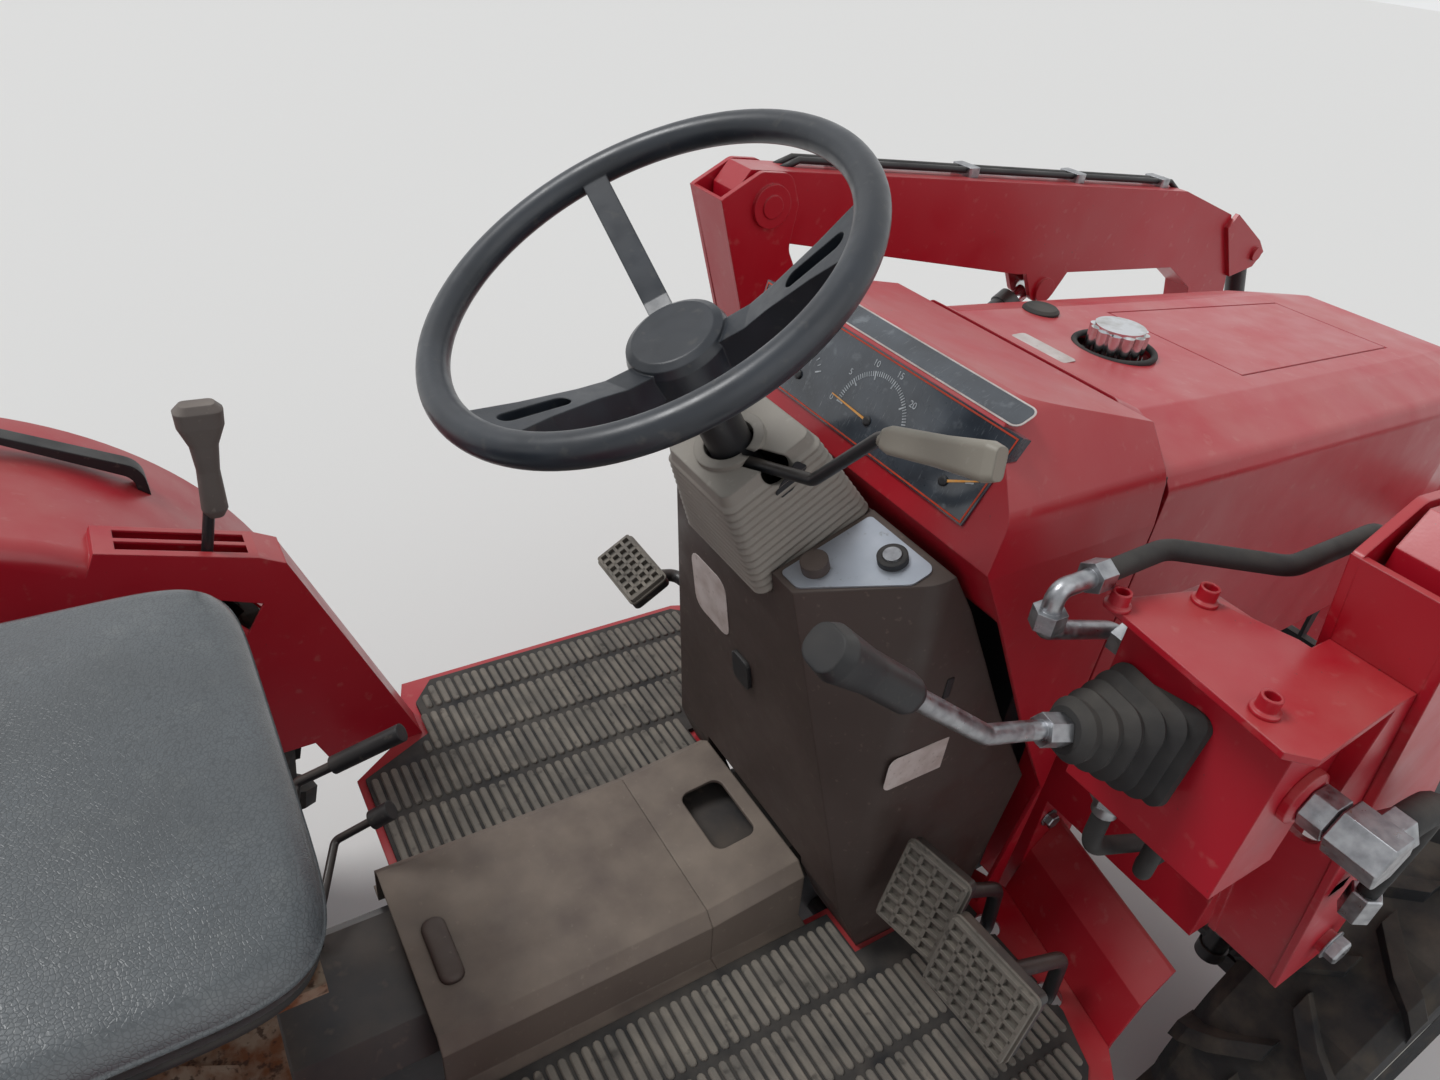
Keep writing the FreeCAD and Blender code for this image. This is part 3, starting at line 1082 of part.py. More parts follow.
def brake_pedal(y, px, py, width, height, yaw, lean):
    x, z = BRAKE_SHAFT
    arm = bent_pipe([(x, y, z), (1090, y, 425), (PEDAL_HOLE_X, y, 470), (1122, y, 560), (px + 4, y, 640)], 9,
                    24)
    return fuse([pad(px, py, 640, width, height, yaw, lean), arm, across(20, y - 16, y + 16, x, z)])


shaft = across(12, -400, -100.3, *BRAKE_SHAFT)
brakes = fuse([brake_pedal(*row) for row in BRAKE_PADS] + [shaft])
clutch_arm = bent_pipe([(895, 290, 736), (950, 283, 728), (968, 200, 728), (1000, 120, 728), (1075, 120, 690),
                        (1075, 120, 600)], 9, 16)
clutch_arm = clutch_arm.cut(case_above)
put("pedals", group([brakes, fuse([pad(892, 301, 738, 112, 60, 0, 32), clutch_arm])]))

os.makedirs("parts", exist_ok=True)
for name, shape in PARTS.items():
    shape.translate(V(-X_MID, 0, 0))
    shape.exportStep("parts/" + name + ".step")
    print(name, len(shape.Solids), shape.isValid())
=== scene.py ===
# Finishes and small pieces of a small utility tractor with a front loader.
import json
import math
import bpy
from bpy.props import FloatProperty, FloatVectorProperty, PointerProperty
from mathutils import Matrix, Vector
from mathutils.bvhtree import BVHTree
from mathutils.geometry import interpolate_bezier


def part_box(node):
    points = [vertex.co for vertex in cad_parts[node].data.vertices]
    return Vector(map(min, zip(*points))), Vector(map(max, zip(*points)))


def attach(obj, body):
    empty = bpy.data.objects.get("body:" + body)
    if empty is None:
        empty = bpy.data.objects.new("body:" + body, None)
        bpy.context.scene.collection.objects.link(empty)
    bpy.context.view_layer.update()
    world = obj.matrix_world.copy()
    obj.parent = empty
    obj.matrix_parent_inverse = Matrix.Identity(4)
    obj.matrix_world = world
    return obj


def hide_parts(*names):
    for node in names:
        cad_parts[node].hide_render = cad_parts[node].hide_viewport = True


bl_info = {
    "name": "Utility tractor finish",
    "version": (1, 0, 0),
    "blender": (4, 5, 0),
    "location": "View3D > Sidebar > Tractor",
    "description": "Paints the tractor and adds its seat, mats, dials, treads, bolts and small pieces",
    "category": "Object",
}

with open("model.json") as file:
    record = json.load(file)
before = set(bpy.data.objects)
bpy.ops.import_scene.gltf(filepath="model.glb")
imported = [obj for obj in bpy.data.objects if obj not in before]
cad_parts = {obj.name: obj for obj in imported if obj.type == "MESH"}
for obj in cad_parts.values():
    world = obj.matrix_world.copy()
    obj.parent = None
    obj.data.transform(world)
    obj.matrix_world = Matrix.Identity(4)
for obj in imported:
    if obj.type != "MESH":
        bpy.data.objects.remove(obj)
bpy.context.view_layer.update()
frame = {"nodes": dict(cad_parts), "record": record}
MM = 0.001


def middle(node):
    low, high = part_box(node)
    return (low + high) / 2


AXLE_X = middle("rear_tyre_left").x
AHEAD, LEFT, RIGHT, UP, DOWN = (1, 0, 0), (0, 1, 0), (0, -1, 0), (0, 0, 1), (0, 0, -1)


def at(x, y, z):
    """A point in millimetres from the rear axle, the centre line and the ground, in the frame's metres."""
    return Vector((AXLE_X + x * MM, y * MM, z * MM))


# Materials
def add(tree, kind, sockets=None, **settings):
    """Adds a node with its settings; a socket takes a number, a colour or another node's output."""
    made = tree.nodes.new(kind)
    for name, value in settings.items():
        setattr(made, name, value)
    for name, value in (sockets or {}).items():
        if isinstance(value, bpy.types.NodeSocket):
            tree.links.new(value, made.inputs[name])
        else:
            made.inputs[name].default_value = value
    return made


def rgb(code):
    """sRGB hex to linear colour."""
    parts = [int(code[i:i + 2], 16) / 255 for i in (0, 2, 4)]
    return tuple(c / 12.92 if c <= 0.04045 else ((c + 0.055) / 1.055) ** 2.4 for c in parts) + (1.0,)


def per(size_mm):
    """Texture scale at which one feature measures size_mm."""
    return 1.0 / (size_mm * MM)


def begin(name, **settings):
    """An empty material, its tree, its shader with the settings, and the object's own coordinates."""
    made = bpy.data.materials.new(name)
    made.use_nodes = True
    tree = made.node_tree
    tree.nodes.clear()
    shader = add(tree, "ShaderNodeBsdfPrincipled", {k.replace("_", " "): v for k, v in settings.items()})
    add(tree, "ShaderNodeOutputMaterial", {"Surface": shader.outputs[0]})
    coords = add(tree, "ShaderNodeTexCoord").outputs["Object"]
    return made, tree, shader, coords


# Marks a coat that lies only on faces that look up
DUSTY = True


def coats(tree, coords, colour, rows):
    """Colour in coats.  Columns: patch size, noise where it starts and is full, detail, colour, share."""
    normal = add(tree, "ShaderNodeNewGeometry").outputs["Normal"]
    facing = add(tree, "ShaderNodeSeparateXYZ", {0: normal}).outputs[2]
    up = add(tree, "ShaderNodeMapRange", {0: facing, 1: 0.15, 2: 0.95}).outputs[0]
    base = rgb(colour)
    for size_mm, low, high, detail, coat, share, *settles in rows:
        settings = {"Vector": coords, "Scale": per(size_mm), "Detail": detail}
        cloud = add(tree, "ShaderNodeTexNoise", settings).outputs[0]
        patch = add(tree, "ShaderNodeMapRange", {0: cloud, 1: low, 2: high, 4: share}).outputs[0]
        if settles:
            patch = add(tree, "ShaderNodeMath", {0: patch, 1: up}, operation="MULTIPLY").outputs[0]
        base = add(tree, "ShaderNodeMix", {0: patch, 6: base, 7: rgb(coat)}, data_type="RGBA").outputs[2]
    return base


def skin(tree, coords, rows, edge_mm=0.0):
    """The surface's own relief over softly rounded edges.  Columns: size and depth in millimetres, detail."""
    normal = None
    if edge_mm:
        normal = add(tree, "ShaderNodeBevel", {"Radius": edge_mm * MM}, samples=4).outputs[0]
    for size_mm, depth_mm, detail in rows:
        settings = {"Vector": coords, "Scale": per(size_mm), "Detail": detail}
        cloud = add(tree, "ShaderNodeTexNoise", settings).outputs[0]
        made = add(tree, "ShaderNodeBump", {"Height": cloud, "Distance": depth_mm * MM})
        if normal:
            tree.links.new(normal, made.inputs["Normal"])
        normal = made.outputs[0]
    return normal


def sheen_spread(tree, coords, size_mm, low, high):
    """Roughness that wanders between two values in patches of a real size."""
    settings = {"Vector": coords, "Scale": per(size_mm), "Detail": 4.0}
    cloud = add(tree, "ShaderNodeTexNoise", settings).outputs[0]
    return add(tree, "ShaderNodeMapRange", {0: cloud, 1: 0.3, 2: 0.7, 3: low, 4: high}).outputs[0]


def finished(made, tree, shader, base, rough=None, normal=None):
    for name, output in (("Base Color", base), ("Roughness", rough), ("Normal", normal)):
        if output is not None:
            tree.links.new(output, shader.inputs[name])
    return made


def surfaced(name, colour, rows, sheen=None, relief=(), edge_mm=0.0, **settings):
    """A material of coats of colour, with a roughness that wanders and a relief where they are given."""
    made, tree, shader, coords = begin(name, **settings)
    base = coats(tree, coords, colour, rows)
    rough = sheen_spread(tree, coords, *sheen) if sheen else None
    return finished(made, tree, shader, base, rough, skin(tree, coords, relief, edge_mm))


def enamel(name, colour, faded, chip, dust, dust_share, gloss):
    """Sprayed enamel: orange peel and shallow dents in the gloss, sun fade, stone chips and settled dust."""
    return surfaced(name, colour,
                    [(420, 0.40, 0.66, 2, faded, 0.8), (5, 0.73, 0.75, 6, chip, 0.9),
                     (90, 0.30, 0.75, 6, dust, dust_share, DUSTY),
                     (18, 0.62, 0.74, 8, dust, dust_share * 0.7)],
                    (60, gloss, gloss + 0.16), [(2.4, 0.04, 1), (150, 1.2, 0)], 2.2,
                    Coat_Weight=0.2, Coat_Roughness=0.2)


def tyre_rubber():
    """Vulcanised rubber: matt and black, grey-brown where soil has dried on it."""
    return surfaced("vulcanised_tyre_rubber", "1A1B1D",
                    [(80, 0.35, 0.70, 3, "242427", 1.0), (40, 0.50, 0.75, 7, "5F564B", 0.55),
                     (60, 0.30, 0.70, 5, "6E6458", 0.45, DUSTY)],
                    (40, 0.66, 0.92), [(3, 0.3, 6)], 2.0, Specular_IOR_Level=0.35)


def moulded_rubber():
    """Moulded rubber of mats, bellows and seals: black under a chalky grey bloom."""
    return surfaced("moulded_black_rubber", "2B2B2C",
                    [(70, 0.35, 0.68, 3, "373635", 1.0), (42, 0.35, 0.72, 6, "6B655D", 0.40, DUSTY)],
                    (30, 0.60, 0.85), [(1.6, 0.12, 5)], 1.0, Specular_IOR_Level=0.3)


def worn_rubber():
    """The mats' raised bars, paler grey than the web between them and palest on their tops: partly scuffs and
    dust, partly painted light of the sunlit bars.
    """
    return surfaced("scuffed_and_lit_mat_rubber", "68645E",
                    # The pale coat on faces that look up is partly dust, partly painted light on the bars'
                    # tops
                    [(120, 0.35, 0.68, 3, "77726A", 1.0), (35, 0.40, 0.72, 7, "958D81", 0.6, DUSTY),
                     (16, 0.60, 0.72, 8, "2E2C2A", 0.6)],
                    (20, 0.55, 0.85), [(1.6, 0.15, 5)], Specular_IOR_Level=0.3)


def moulded_plastic(name, colour, aged, dust, dust_share, gloss):
    """Injection-moulded plastic with a fine spark-eroded texture, greyed by the sun and lightly scuffed."""
    return surfaced(name, colour,
                    [(180, 0.35, 0.68, 3, aged, 1.0), (60, 0.30, 0.70, 6, dust, dust_share, DUSTY),
                     (9, 0.64, 0.72, 8, dust, 0.22)],
                    (45, gloss, gloss + 0.25), [(1.1, 0.05, 2)], 3.0, Specular_IOR_Level=0.4)


def wheel_plastic():
    """Polyurethane skin of the steering wheel, polished by hands."""
    return surfaced("polished_wheel_polyurethane", "1B2027",
                    [(70, 0.35, 0.68, 3, "262C34", 1.0), (12, 0.62, 0.74, 7, "56544F", 0.3)],
                    (16, 0.28, 0.44), [(1.3, 0.04, 2)], 2.5, Coat_Weight=0.15, Coat_Roughness=0.25)


def seat_vinyl():
    """Embossed vinyl: cells about 3.4 mm across like hide, with soft stretch creases."""
    made, tree, shader, coords = begin("embossed_seat_vinyl", Coat_Weight=0.35, Coat_Roughness=0.22)
    warp = add(tree, "ShaderNodeTexNoise", {"Vector": coords, "Scale": per(7), "Detail": 2.0}).outputs[1]
    small = add(tree, "ShaderNodeVectorMath", {0: warp, "Scale": 0.0016}, operation="SCALE").outputs[0]
    bent = add(tree, "ShaderNodeVectorMath", {0: coords, 1: small}, operation="ADD").outputs[0]
    cells = add(tree, "ShaderNodeTexVoronoi", {"Vector": bent, "Scale": per(3.4)}, feature="DISTANCE_TO_EDGE")
    hide = add(tree, "ShaderNodeMapRange", {0: cells.outputs[0], 1: 0.0, 2: 0.16}).outputs[0]
    base = coats(tree, coords, "54595C",
                 [(120, 0.35, 0.68, 3, "60666A", 1.0), (26, 0.55, 0.75, 8, "8D908C", 0.2, DUSTY)])
    base = add(tree, "ShaderNodeMix", {0: hide, 6: rgb("484D50"), 7: base}, data_type="RGBA").outputs[2]
    soft = skin(tree, coords, [(28, 0.8, 3)])
    fine = add(tree, "ShaderNodeBump", {"Height": hide, "Distance": 0.16 * MM, "Normal": soft}).outputs[0]
    return finished(made, tree, shader, base, sheen_spread(tree, coords, 30, 0.30, 0.46), fine)


def zinc_plate():
    """Zinc-plated steel of nuts, pipes and fittings: bright grey with dull and rusty spots."""
    return surfaced("zinc_plated_steel", "A9ABAE",
                    [(12, 0.35, 0.7, 6, "85868A", 1.0), (9, 0.68, 0.76, 8, "8A6B52", 0.9)],
                    (8, 0.26, 0.5), [(1.5, 0.06, 4)], 0.8, Metallic=1.0)


def hard_chrome():
    """Hard chrome on cylinder rods and cap: mirror bright with fine wear."""
    return surfaced("hard_chrome_plate", "D6D8DB", [(20, 0.45, 0.75, 6, "B2B0AC", 1.0)],
                    (14, 0.08, 0.24), Metallic=1.0)


def rusty_steel():
    """Hot-rolled strip whose paint has gone: scale and brown rust in layers."""
    return surfaced("rusted_strip_steel", "8C7B6A",
                    [(22, 0.40, 0.62, 8, "6B4229", 1.0), (7, 0.55, 0.66, 8, "3E2A20", 0.9)],
                    (10, 0.6, 0.95), [(5, 0.4, 8)], Specular_IOR_Level=0.3)


def lens(name, painted_rib_shade_and_light, rib_mm, direction, depth_mm, **settings):
    """A moulded or pressed lens with ribs of a real width and depth, painted darker and paler in bands across
    the ribs as shade and light.
    """
    made, tree, shader, coords = begin(name, **settings)
    wave = add(tree, "ShaderNodeTexWave", {"Vector": coords, "Scale": per(rib_mm)}, bands_direction=direction)
    ribs = wave.outputs[1]
    # The darker and paler bands across each rib are painted shade and light
    dark, pale = map(rgb, painted_rib_shade_and_light)
    base = add(tree, "ShaderNodeMix", {0: ribs, 6: dark, 7: pale}, data_type="RGBA").outputs[2]
    relief = add(tree, "ShaderNodeBump", {"Height": ribs, "Distance": depth_mm * MM}).outputs[0]
    return finished(made, tree, shader, base, None, relief)


def red_lens():
    """Moulded red acrylic, ribbed inside."""
    return lens("moulded_red_acrylic", ("8F1410", "B5221A"), 14, "Z", 0.8,
                Roughness=0.12, Transmission_Weight=0.25, Coat_Weight=0.5)


def clear_lens():
    """Pressed lamp glass with upright flutes."""
    return lens("fluted_clear_glass", ("B9BDBF", "E2E5E6"), 24, "Y", 1.2,
                Roughness=0.06, Transmission_Weight=0.35, Coat_Weight=0.6)


def panel_face():
    """Smoked acrylic over the dials: dark blue-grey, glossy, hazed by dust and fine scratches."""
    made, tree, shader, coords = begin("scratched_smoked_acrylic", Coat_Weight=0.7, Coat_Roughness=0.1)
    slanted = {"Vector": coords, "Rotation": (0.4, 0.2, 0.7), "Scale": (1, 9, 1)}
    drawn = add(tree, "ShaderNodeMapping", slanted)
    settings = {"Vector": drawn.outputs[0], "Scale": per(16), "Detail": 9.0, "Roughness": 0.7}
    fine = add(tree, "ShaderNodeTexNoise", settings).outputs[0]
    scratches = add(tree, "ShaderNodeMapRange", {0: fine, 1: 0.60, 2: 0.68, 4: 0.5}).outputs[0]
    base = coats(tree, coords, "2A3038",
                 [(60, 0.35, 0.75, 6, "4C545D", 1.0), (14, 0.60, 0.74, 8, "8D9499", 0.35)])
    base = add(tree, "ShaderNodeMix", {0: scratches, 6: base, 7: rgb("9AA0A4")}, data_type="RGBA").outputs[2]
    return finished(made, tree, shader, base, sheen_spread(tree, coords, 45, 0.12, 0.34))


def satin_plate():
    """Brushed aluminium sheet of the switch plate."""
    made, tree, shader, coords = begin("brushed_aluminium_sheet", Metallic=0.7, Roughness=0.38)
    drawn = add(tree, "ShaderNodeMapping", {"Vector": coords, "Scale": (1, 18, 1)}).outputs[0]
    brushed = add(tree, "ShaderNodeTexNoise", {"Vector": drawn, "Scale": per(9), "Detail": 4.0}).outputs[0]
    base = coats(tree, coords, "AEB5BF",
                 [(11, 0.64, 0.72, 7, "7C7C7B", 0.8), (40, 0.4, 0.7, 4, "C0C6CE", 0.8)])
    relief = add(tree, "ShaderNodeBump", {"Height": brushed, "Distance": 0.03 * MM}).outputs[0]
    return finished(made, tree, shader, base, None, relief)


def blank_plate():
    """Printed-film plate, sun-bleached and dirty in patches."""
    return surfaced("bleached_plate_film", "CFC6C2",
                    [(25, 0.4, 0.7, 6, "B5A8A2", 1.0), (6, 0.62, 0.72, 8, "8A7F78", 0.5)], Roughness=0.45)


def dial_paint(name, colour, uneven, rough):
    """Printed ink or paint of the instrument face, uneven with age."""
    return surfaced(name, colour, [(8, 0.4, 0.7, 3, uneven, 1.0)], Roughness=rough)


# What makes each finish, and with which settings: colours run from the base to the dust
FINISHES = {
    "red_paint": (enamel, "sprayed_red_enamel", "AE1124", "B71C2F", "5B3330", "C9A79B", 0.20, 0.30),
    "rim_paint": (enamel, "sprayed_silver_enamel", "BDBBB2", "B0AEA5", "6A4A38", "8F7F6C", 0.35, 0.40),
    "casting_paint": (enamel, "brushed_on_chassis_enamel", "26272A", "2E2F33", "5A4436", "77695B", 0.5, 0.45),
    "dark_paint": (enamel, "baked_black_enamel", "1B1C1F", "232427", "5A4234", "7D7063", 0.40, 0.38),
    "brown_plastic": (moulded_plastic, "moulded_brown_abs", "423733", "4C413D", "8E8074", 0.28, 0.40),
    "tunnel": (moulded_plastic, "dusty_taupe_abs", "655A53", "6F645B", "9A8D7F", 0.45, 0.50),
    "grey_plastic": (moulded_plastic, "moulded_grey_abs", "87827B", "928C84", "B9B3A8", 0.30, 0.48),
    "taupe": (moulded_plastic, "moulded_taupe_grip", "5C5350", "6A625E", "A79D92", 0.45, 0.48),
    "paddle": (moulded_plastic, "moulded_stone_grip", "8A857A", "979186", "B7B1A5", 0.30, 0.42),
    "black_plastic": (moulded_plastic, "moulded_black_nylon", "1C1D20", "292A2D", "6F6961", 0.30, 0.36),
    "ink": (dial_paint, "dial_ink", "C8CED2", "9AA1A6", 0.5),
    "needle": (dial_paint, "needle_orange", "F0A040", "E0B070", 0.4),
    "seal": (dial_paint, "sealing_line_orange", "C9401F", "A8452F", 0.5),
    "tyre_rubber": (tyre_rubber,), "black_rubber": (moulded_rubber,), "worn_rubber": (worn_rubber,),
    "wheel_plastic": (wheel_plastic,), "vinyl": (seat_vinyl,), "smoked_glass": (panel_face,),
    "grey_metal": (zinc_plate,), "zinc": (zinc_plate,), "chrome": (hard_chrome,), "lens": (red_lens,),
    "rod_chrome": (hard_chrome,), "clear_lens": (clear_lens,), "rust": (rusty_steel,),
    "plate": (satin_plate,), "blank": (blank_plate,),
}
made_finishes = {}


def finish(name):
    """The material of that record slot or extra finish, made once."""
    if name not in made_finishes:
        maker, *settings = FINISHES[name]
        made_finishes[name] = maker(*settings)
    return made_finishes[name]


# Mesh helpers
def piece(name, verts, faces, finish_name, body, slot=None, smooth=True, bevel=0.0):
    """A mesh piece in the frame's metres that rides on a body; its edges are rounded by bevel."""
    mesh = bpy.data.meshes.new(name)
    mesh.from_pydata([tuple(v) for v in verts], [], faces)
    mesh.validate()
    mesh.polygons.foreach_set("use_smooth", [smooth] * len(mesh.polygons))
    made = bpy.data.objects.new(name, mesh)
    bpy.context.scene.collection.objects.link(made)
    made.data.materials.append(finish(finish_name))
    if bevel:
        rounded = made.modifiers.new("edge", "BEVEL")
        rounded.width = bevel
        rounded.segments = 2
        rounded.harden_normals = True
        rounded.angle_limit = math.radians(35)
    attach(made, body)
    return made


def join(parts):
    """Several (verts, faces) as one."""
    verts = []
    faces = []
    for some, theirs in parts:
        start = len(verts)
        verts += some
        faces += [[i + start for i in f] for f in theirs]
    return verts, faces


def rings_to_mesh(rings, closed_loop=False):
    """Rings of equally many points, skinned one to the next, with closed ends or as a closed loop."""
    count = len(rings[0])
    verts = [p for ring in rings for p in ring]
    faces = []
    last = len(rings) if closed_loop else len(rings) - 1
    for r in range(last):
        a = r * count
        b = (r + 1) % len(rings) * count
        for i in range(count):
            j = (i + 1) % count
            faces.append([a + i, a + j, b + j, b + i])
    if not closed_loop:
        faces.append(list(range(count))[::-1])
        faces.append([(len(rings) - 1) * count + i for i in range(count)])
    return verts, faces


# The radius in millimetres that stands for a point on the axis
TIP_R = 0.02


def turned(profile, centre, axis, count=32):
    """A turned form, or a prism of few sides.  Columns: radius and height along the axis, in millimetres."""
    axis = Vector(axis).normalized()
    u = axis.cross(Vector(AHEAD if abs(axis.z) > 0.95 else UP)).normalized()
    v = u.cross(axis).normalized()
    rings = []
    for radius, height in profile:
        ring = []
        for i in range(count):
            a = math.tau * i / count
            out = u * math.cos(a) + v * math.sin(a)
            ring.append(centre + axis * height * MM + out * max(radius, TIP_R) * MM)
        rings.append(ring)
    return rings_to_mesh(rings)


def hex_bolt(centre, axis, across_flats):
    """A hexagon head with a chamfered top on a washer."""
    washer = 2.0
    washer_r = across_flats * 0.7
    corner = across_flats / math.sqrt(3)
    shoulder = washer + across_flats * 0.38
    head = [(corner, washer), (corner, shoulder), (corner * 0.86, washer + across_flats * 0.46)]
    ring = [(washer_r, 0), (washer_r, washer), (0, washer)]
    return join([turned(ring, centre, axis, 20), turned(head, centre, axis, 6)])


def hex_prism(centre, axis, across_flats, length):
    """A hexagonal nut or adaptor with chamfered ends."""
    chamfer = 1.5
    corner = across_flats / math.sqrt(3)
    profile = [(corner * 0.9, 0), (corner, chamfer), (corner, length - chamfer), (corner * 0.9, length)]
    return turned(profile, centre, axis, 6)


def sweep(points, section):
    """A section, (side, up) in millimetres or a function of the share along, carried along points."""
    rings = []
    for i, p in enumerate(points):
        before = points[max(i - 1, 0)]
        after = points[min(i + 1, len(points) - 1)]
        along = (after - before).normalized()
        side = along.cross(Vector(UP)).normalized()
        top = side.cross(along).normalized()
        outline = section(i / (len(points) - 1)) if callable(section) else section
        rings.append([p + side * a * MM + top * b * MM for a, b in outline])
    return rings_to_mesh(rings)


def round_section(radius, count=12):
    angles = [math.tau * i / count for i in range(count)]
    return [(radius * math.cos(a), radius * math.sin(a)) for a in angles]


touched = {}


def surface(node, start, toward):
    """Where a line from start meets a node."""
    if node not in touched:
        mesh = frame["nodes"][node].data
        corners = [v.co for v in mesh.vertices]
        touched[node] = BVHTree.FromPolygons(corners, [p.vertices for p in mesh.polygons])
    place = touched[node].ray_cast(start, Vector(toward).normalized())
    if place[0] is None:
        raise RuntimeError("no face of " + node + " at " + str(start))
    return place[0]


def slab(centre, right, up, outline, thick, lift=0.0):
    """A flat plate on a face, standing proud by thick.  Outline columns: millimetres to the right and up."""
    right = Vector(right).normalized()
    up = Vector(up).normalized()
    out = right.cross(up)
    return rings_to_mesh([[centre + (right * a + up * b + out * h) * MM for a, b in outline]
                          for h in (lift, lift + thick)])


def round_rect(half_w, half_h, r, steps=4):
    """A rectangle's outline with rounded corners, in millimetres."""
    out = []
    for quarter, (sx, sy) in enumerate(((1, 1), (-1, 1), (-1, -1), (1, -1))):
        for k in range(steps + 1):
            a = math.pi / 2 * (quarter + k / steps)
            out.append((sx * (half_w - r) + r * math.cos(a), sy * (half_h - r) + r * math.sin(a)))
    return out


def superellipse(half_x, half_y, power, angle):
    """A point of a rectangle's outline whose corners are the squarer the higher the power."""
    c, s = math.cos(angle), math.sin(angle)
    k = 2 / power
    return half_x * math.copysign(abs(c) ** k, c), half_y * math.copysign(abs(s) ** k, s)


# Sizes and colours that a user would change
def metres(name, default, description):
    return FloatProperty(name=name, description=description, default=default, unit="LENGTH")


class TractorSizes(bpy.types.PropertyGroup):
    """Sizes of the small pieces, in metres."""
    crown: metres("Seat crown", 0.014, "Rise of the seat's middle over its edge")
    bar_width: metres("Mat bar width", 0.0102, "Width of one raised bar of the floor mats")
    bar_pitch: metres("Mat bar pitch", 0.0140, "Distance from bar to bar")
    bar_length: metres("Mat bar length", 0.078, "Length of one raised bar")
    bar_height: metres("Mat bar height", 0.0035, "Height of the bars over the mat")


class TractorLook(bpy.types.PropertyGroup):
    """Colours of the stage."""
    floor: FloatVectorProperty(name="Floor", description="Colour of the floor and backdrop", subtype="COLOR",
                               size=3, default=(0.80, 0.79, 0.77))


def sizes():
    return bpy.context.scene.tractor_sizes


# Nodes whose finish differs from their slot's
WORN = {"seat_base": "rust", "grab_handles": "black_plastic", "tunnel_cover": "tunnel",
        "tunnel_front": "tunnel"}


class TRACTOR_OT_paint(bpy.types.Operator):
    """Gives every node of the frame its finish from the record"""
    bl_idname = "tractor.paint"
    bl_label = "Paint the frame"

    def execute(self, context):
        slots = {row["node"]: row["material_slot"] for row in frame["record"]["subparts"]}
        for name, made in frame["nodes"].items():
            made.data.materials.clear()
            made.data.materials.append(finish(WORN.get(name, slots[name])))
        return {"FINISHED"}


# Seat
SEAT_POWER = 7.0
AROUND = 96


def around(centre, half_x, half_y, power, z):
    """The cushion's outline at one height."""
    ring = []
    for i in range(AROUND):
        x, y = superellipse(half_x, half_y, power, math.tau * i / AROUND)
        ring.append(Vector((centre.x + x, centre.y + y, z)))
    return ring


def cushion_shape(low, high, crown, power=SEAT_POWER, tuck=0.012, round_edge=0.030):
    """A crowned cushion: sides that bulge and tuck in under, soft shoulders and a domed top."""
    shoulder_steps = 8
    crown_steps = 18
    centre = (low + high) / 2
    half_x = (high.x - low.x) / 2
    half_y = (high.y - low.y) / 2
    tall = high.z - low.z
    profile = [(tuck, 0.0), (tuck * 0.4, tall * 0.16), (0.0, tall * 0.42)]
    for i in range(1, shoulder_steps + 1):
        a = math.pi / 2 * i / shoulder_steps
        profile.append((round_edge * (1 - math.cos(a)), tall - round_edge - crown + round_edge * math.sin(a)))
    sections = []
    for inset, z in profile:
        sections.append((1 - inset / half_x, 1 - inset / half_y, low.z + z))
    shoulder = profile[-1][0]
    for i in range(1, crown_steps):
        share = 1 - i / crown_steps
        rise = crown * (1 - share ** 2.2)
        z = high.z - crown + rise
        sections.append(((1 - shoulder / half_x) * share, (1 - shoulder / half_y) * share, z))
    return rings_to_mesh([around(centre, half_x * kx, half_y * ky, power, z) for kx, ky, z in sections])


def welt(points, radius_mm):
    """A sewn welt cord along a closed line."""
    rings = []
    for i, p in enumerate(points):
        along = (points[(i + 1) % len(points)] - points[i - 1]).normalized()
        side = along.cross(Vector(UP)).normalized()
        up = side.cross(along)
        rings.append([p + (side * a + up * b) * MM for a, b in round_section(radius_mm, 8)])
    return rings_to_mesh(rings, closed_loop=True)


class TRACTOR_OT_seat(bpy.types.Operator):
    """Builds the padded seat cushion and back with their trim"""
    bl_idname = "tractor.seat"
    bl_label = "Seat"
    # How far the vinyl begins above the node's lowest point
    raised = 0.004

    def execute(self, context):
        low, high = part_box("seat_cushion")
        shape = cushion_shape(low + Vector((0, 0, self.raised)), high, sizes().crown)
        self.pad("seat_pad", *shape, "seat_cushion")
        inset = 0.009
        half = (high - low) / 2
        edge = around(middle("seat_cushion"), half.x - inset, half.y - inset, SEAT_POWER, low.z + 0.006)
        piece("seat_edge_trim", *welt(edge, 4.5), "black_rubber", "chassis", "black_rubber")
        self.back()
        return {"FINISHED"}

    def pad(self, name, verts, faces, node):
        """A padded piece of vinyl in place of its node."""
        made = piece(name, verts, faces, "vinyl", "chassis", "vinyl")
        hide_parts(node)

    def back(self):
        """The back leans, so it is made lying down and tipped up."""
        low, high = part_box("seat_back")
        lean = math.radians(12)
        half_tall, half_wide, thick = 0.165, (high.y - low.y) / 2, 0.062
        flat_low, flat_high = Vector((-half_tall, -half_wide, 0)), Vector((half_tall, half_wide, thick))
        verts, faces = cushion_shape(flat_low, flat_high, 0.012, 5.0, tuck=0.008, round_edge=0.022)
        tip = Matrix.Rotation(math.radians(90) - lean, 4, "Y")
        shape = [tip @ v for v in verts]
        mean_x = sum(v.x for v in shape) / len(shape)
        bottom = min(v.z for v in shape)
        shift = Vector((middle("seat_back").x - mean_x, 0, low.z + self.raised - bottom))
        self.pad("seat_back_pad", [v + shift for v in shape], faces, "seat_back")


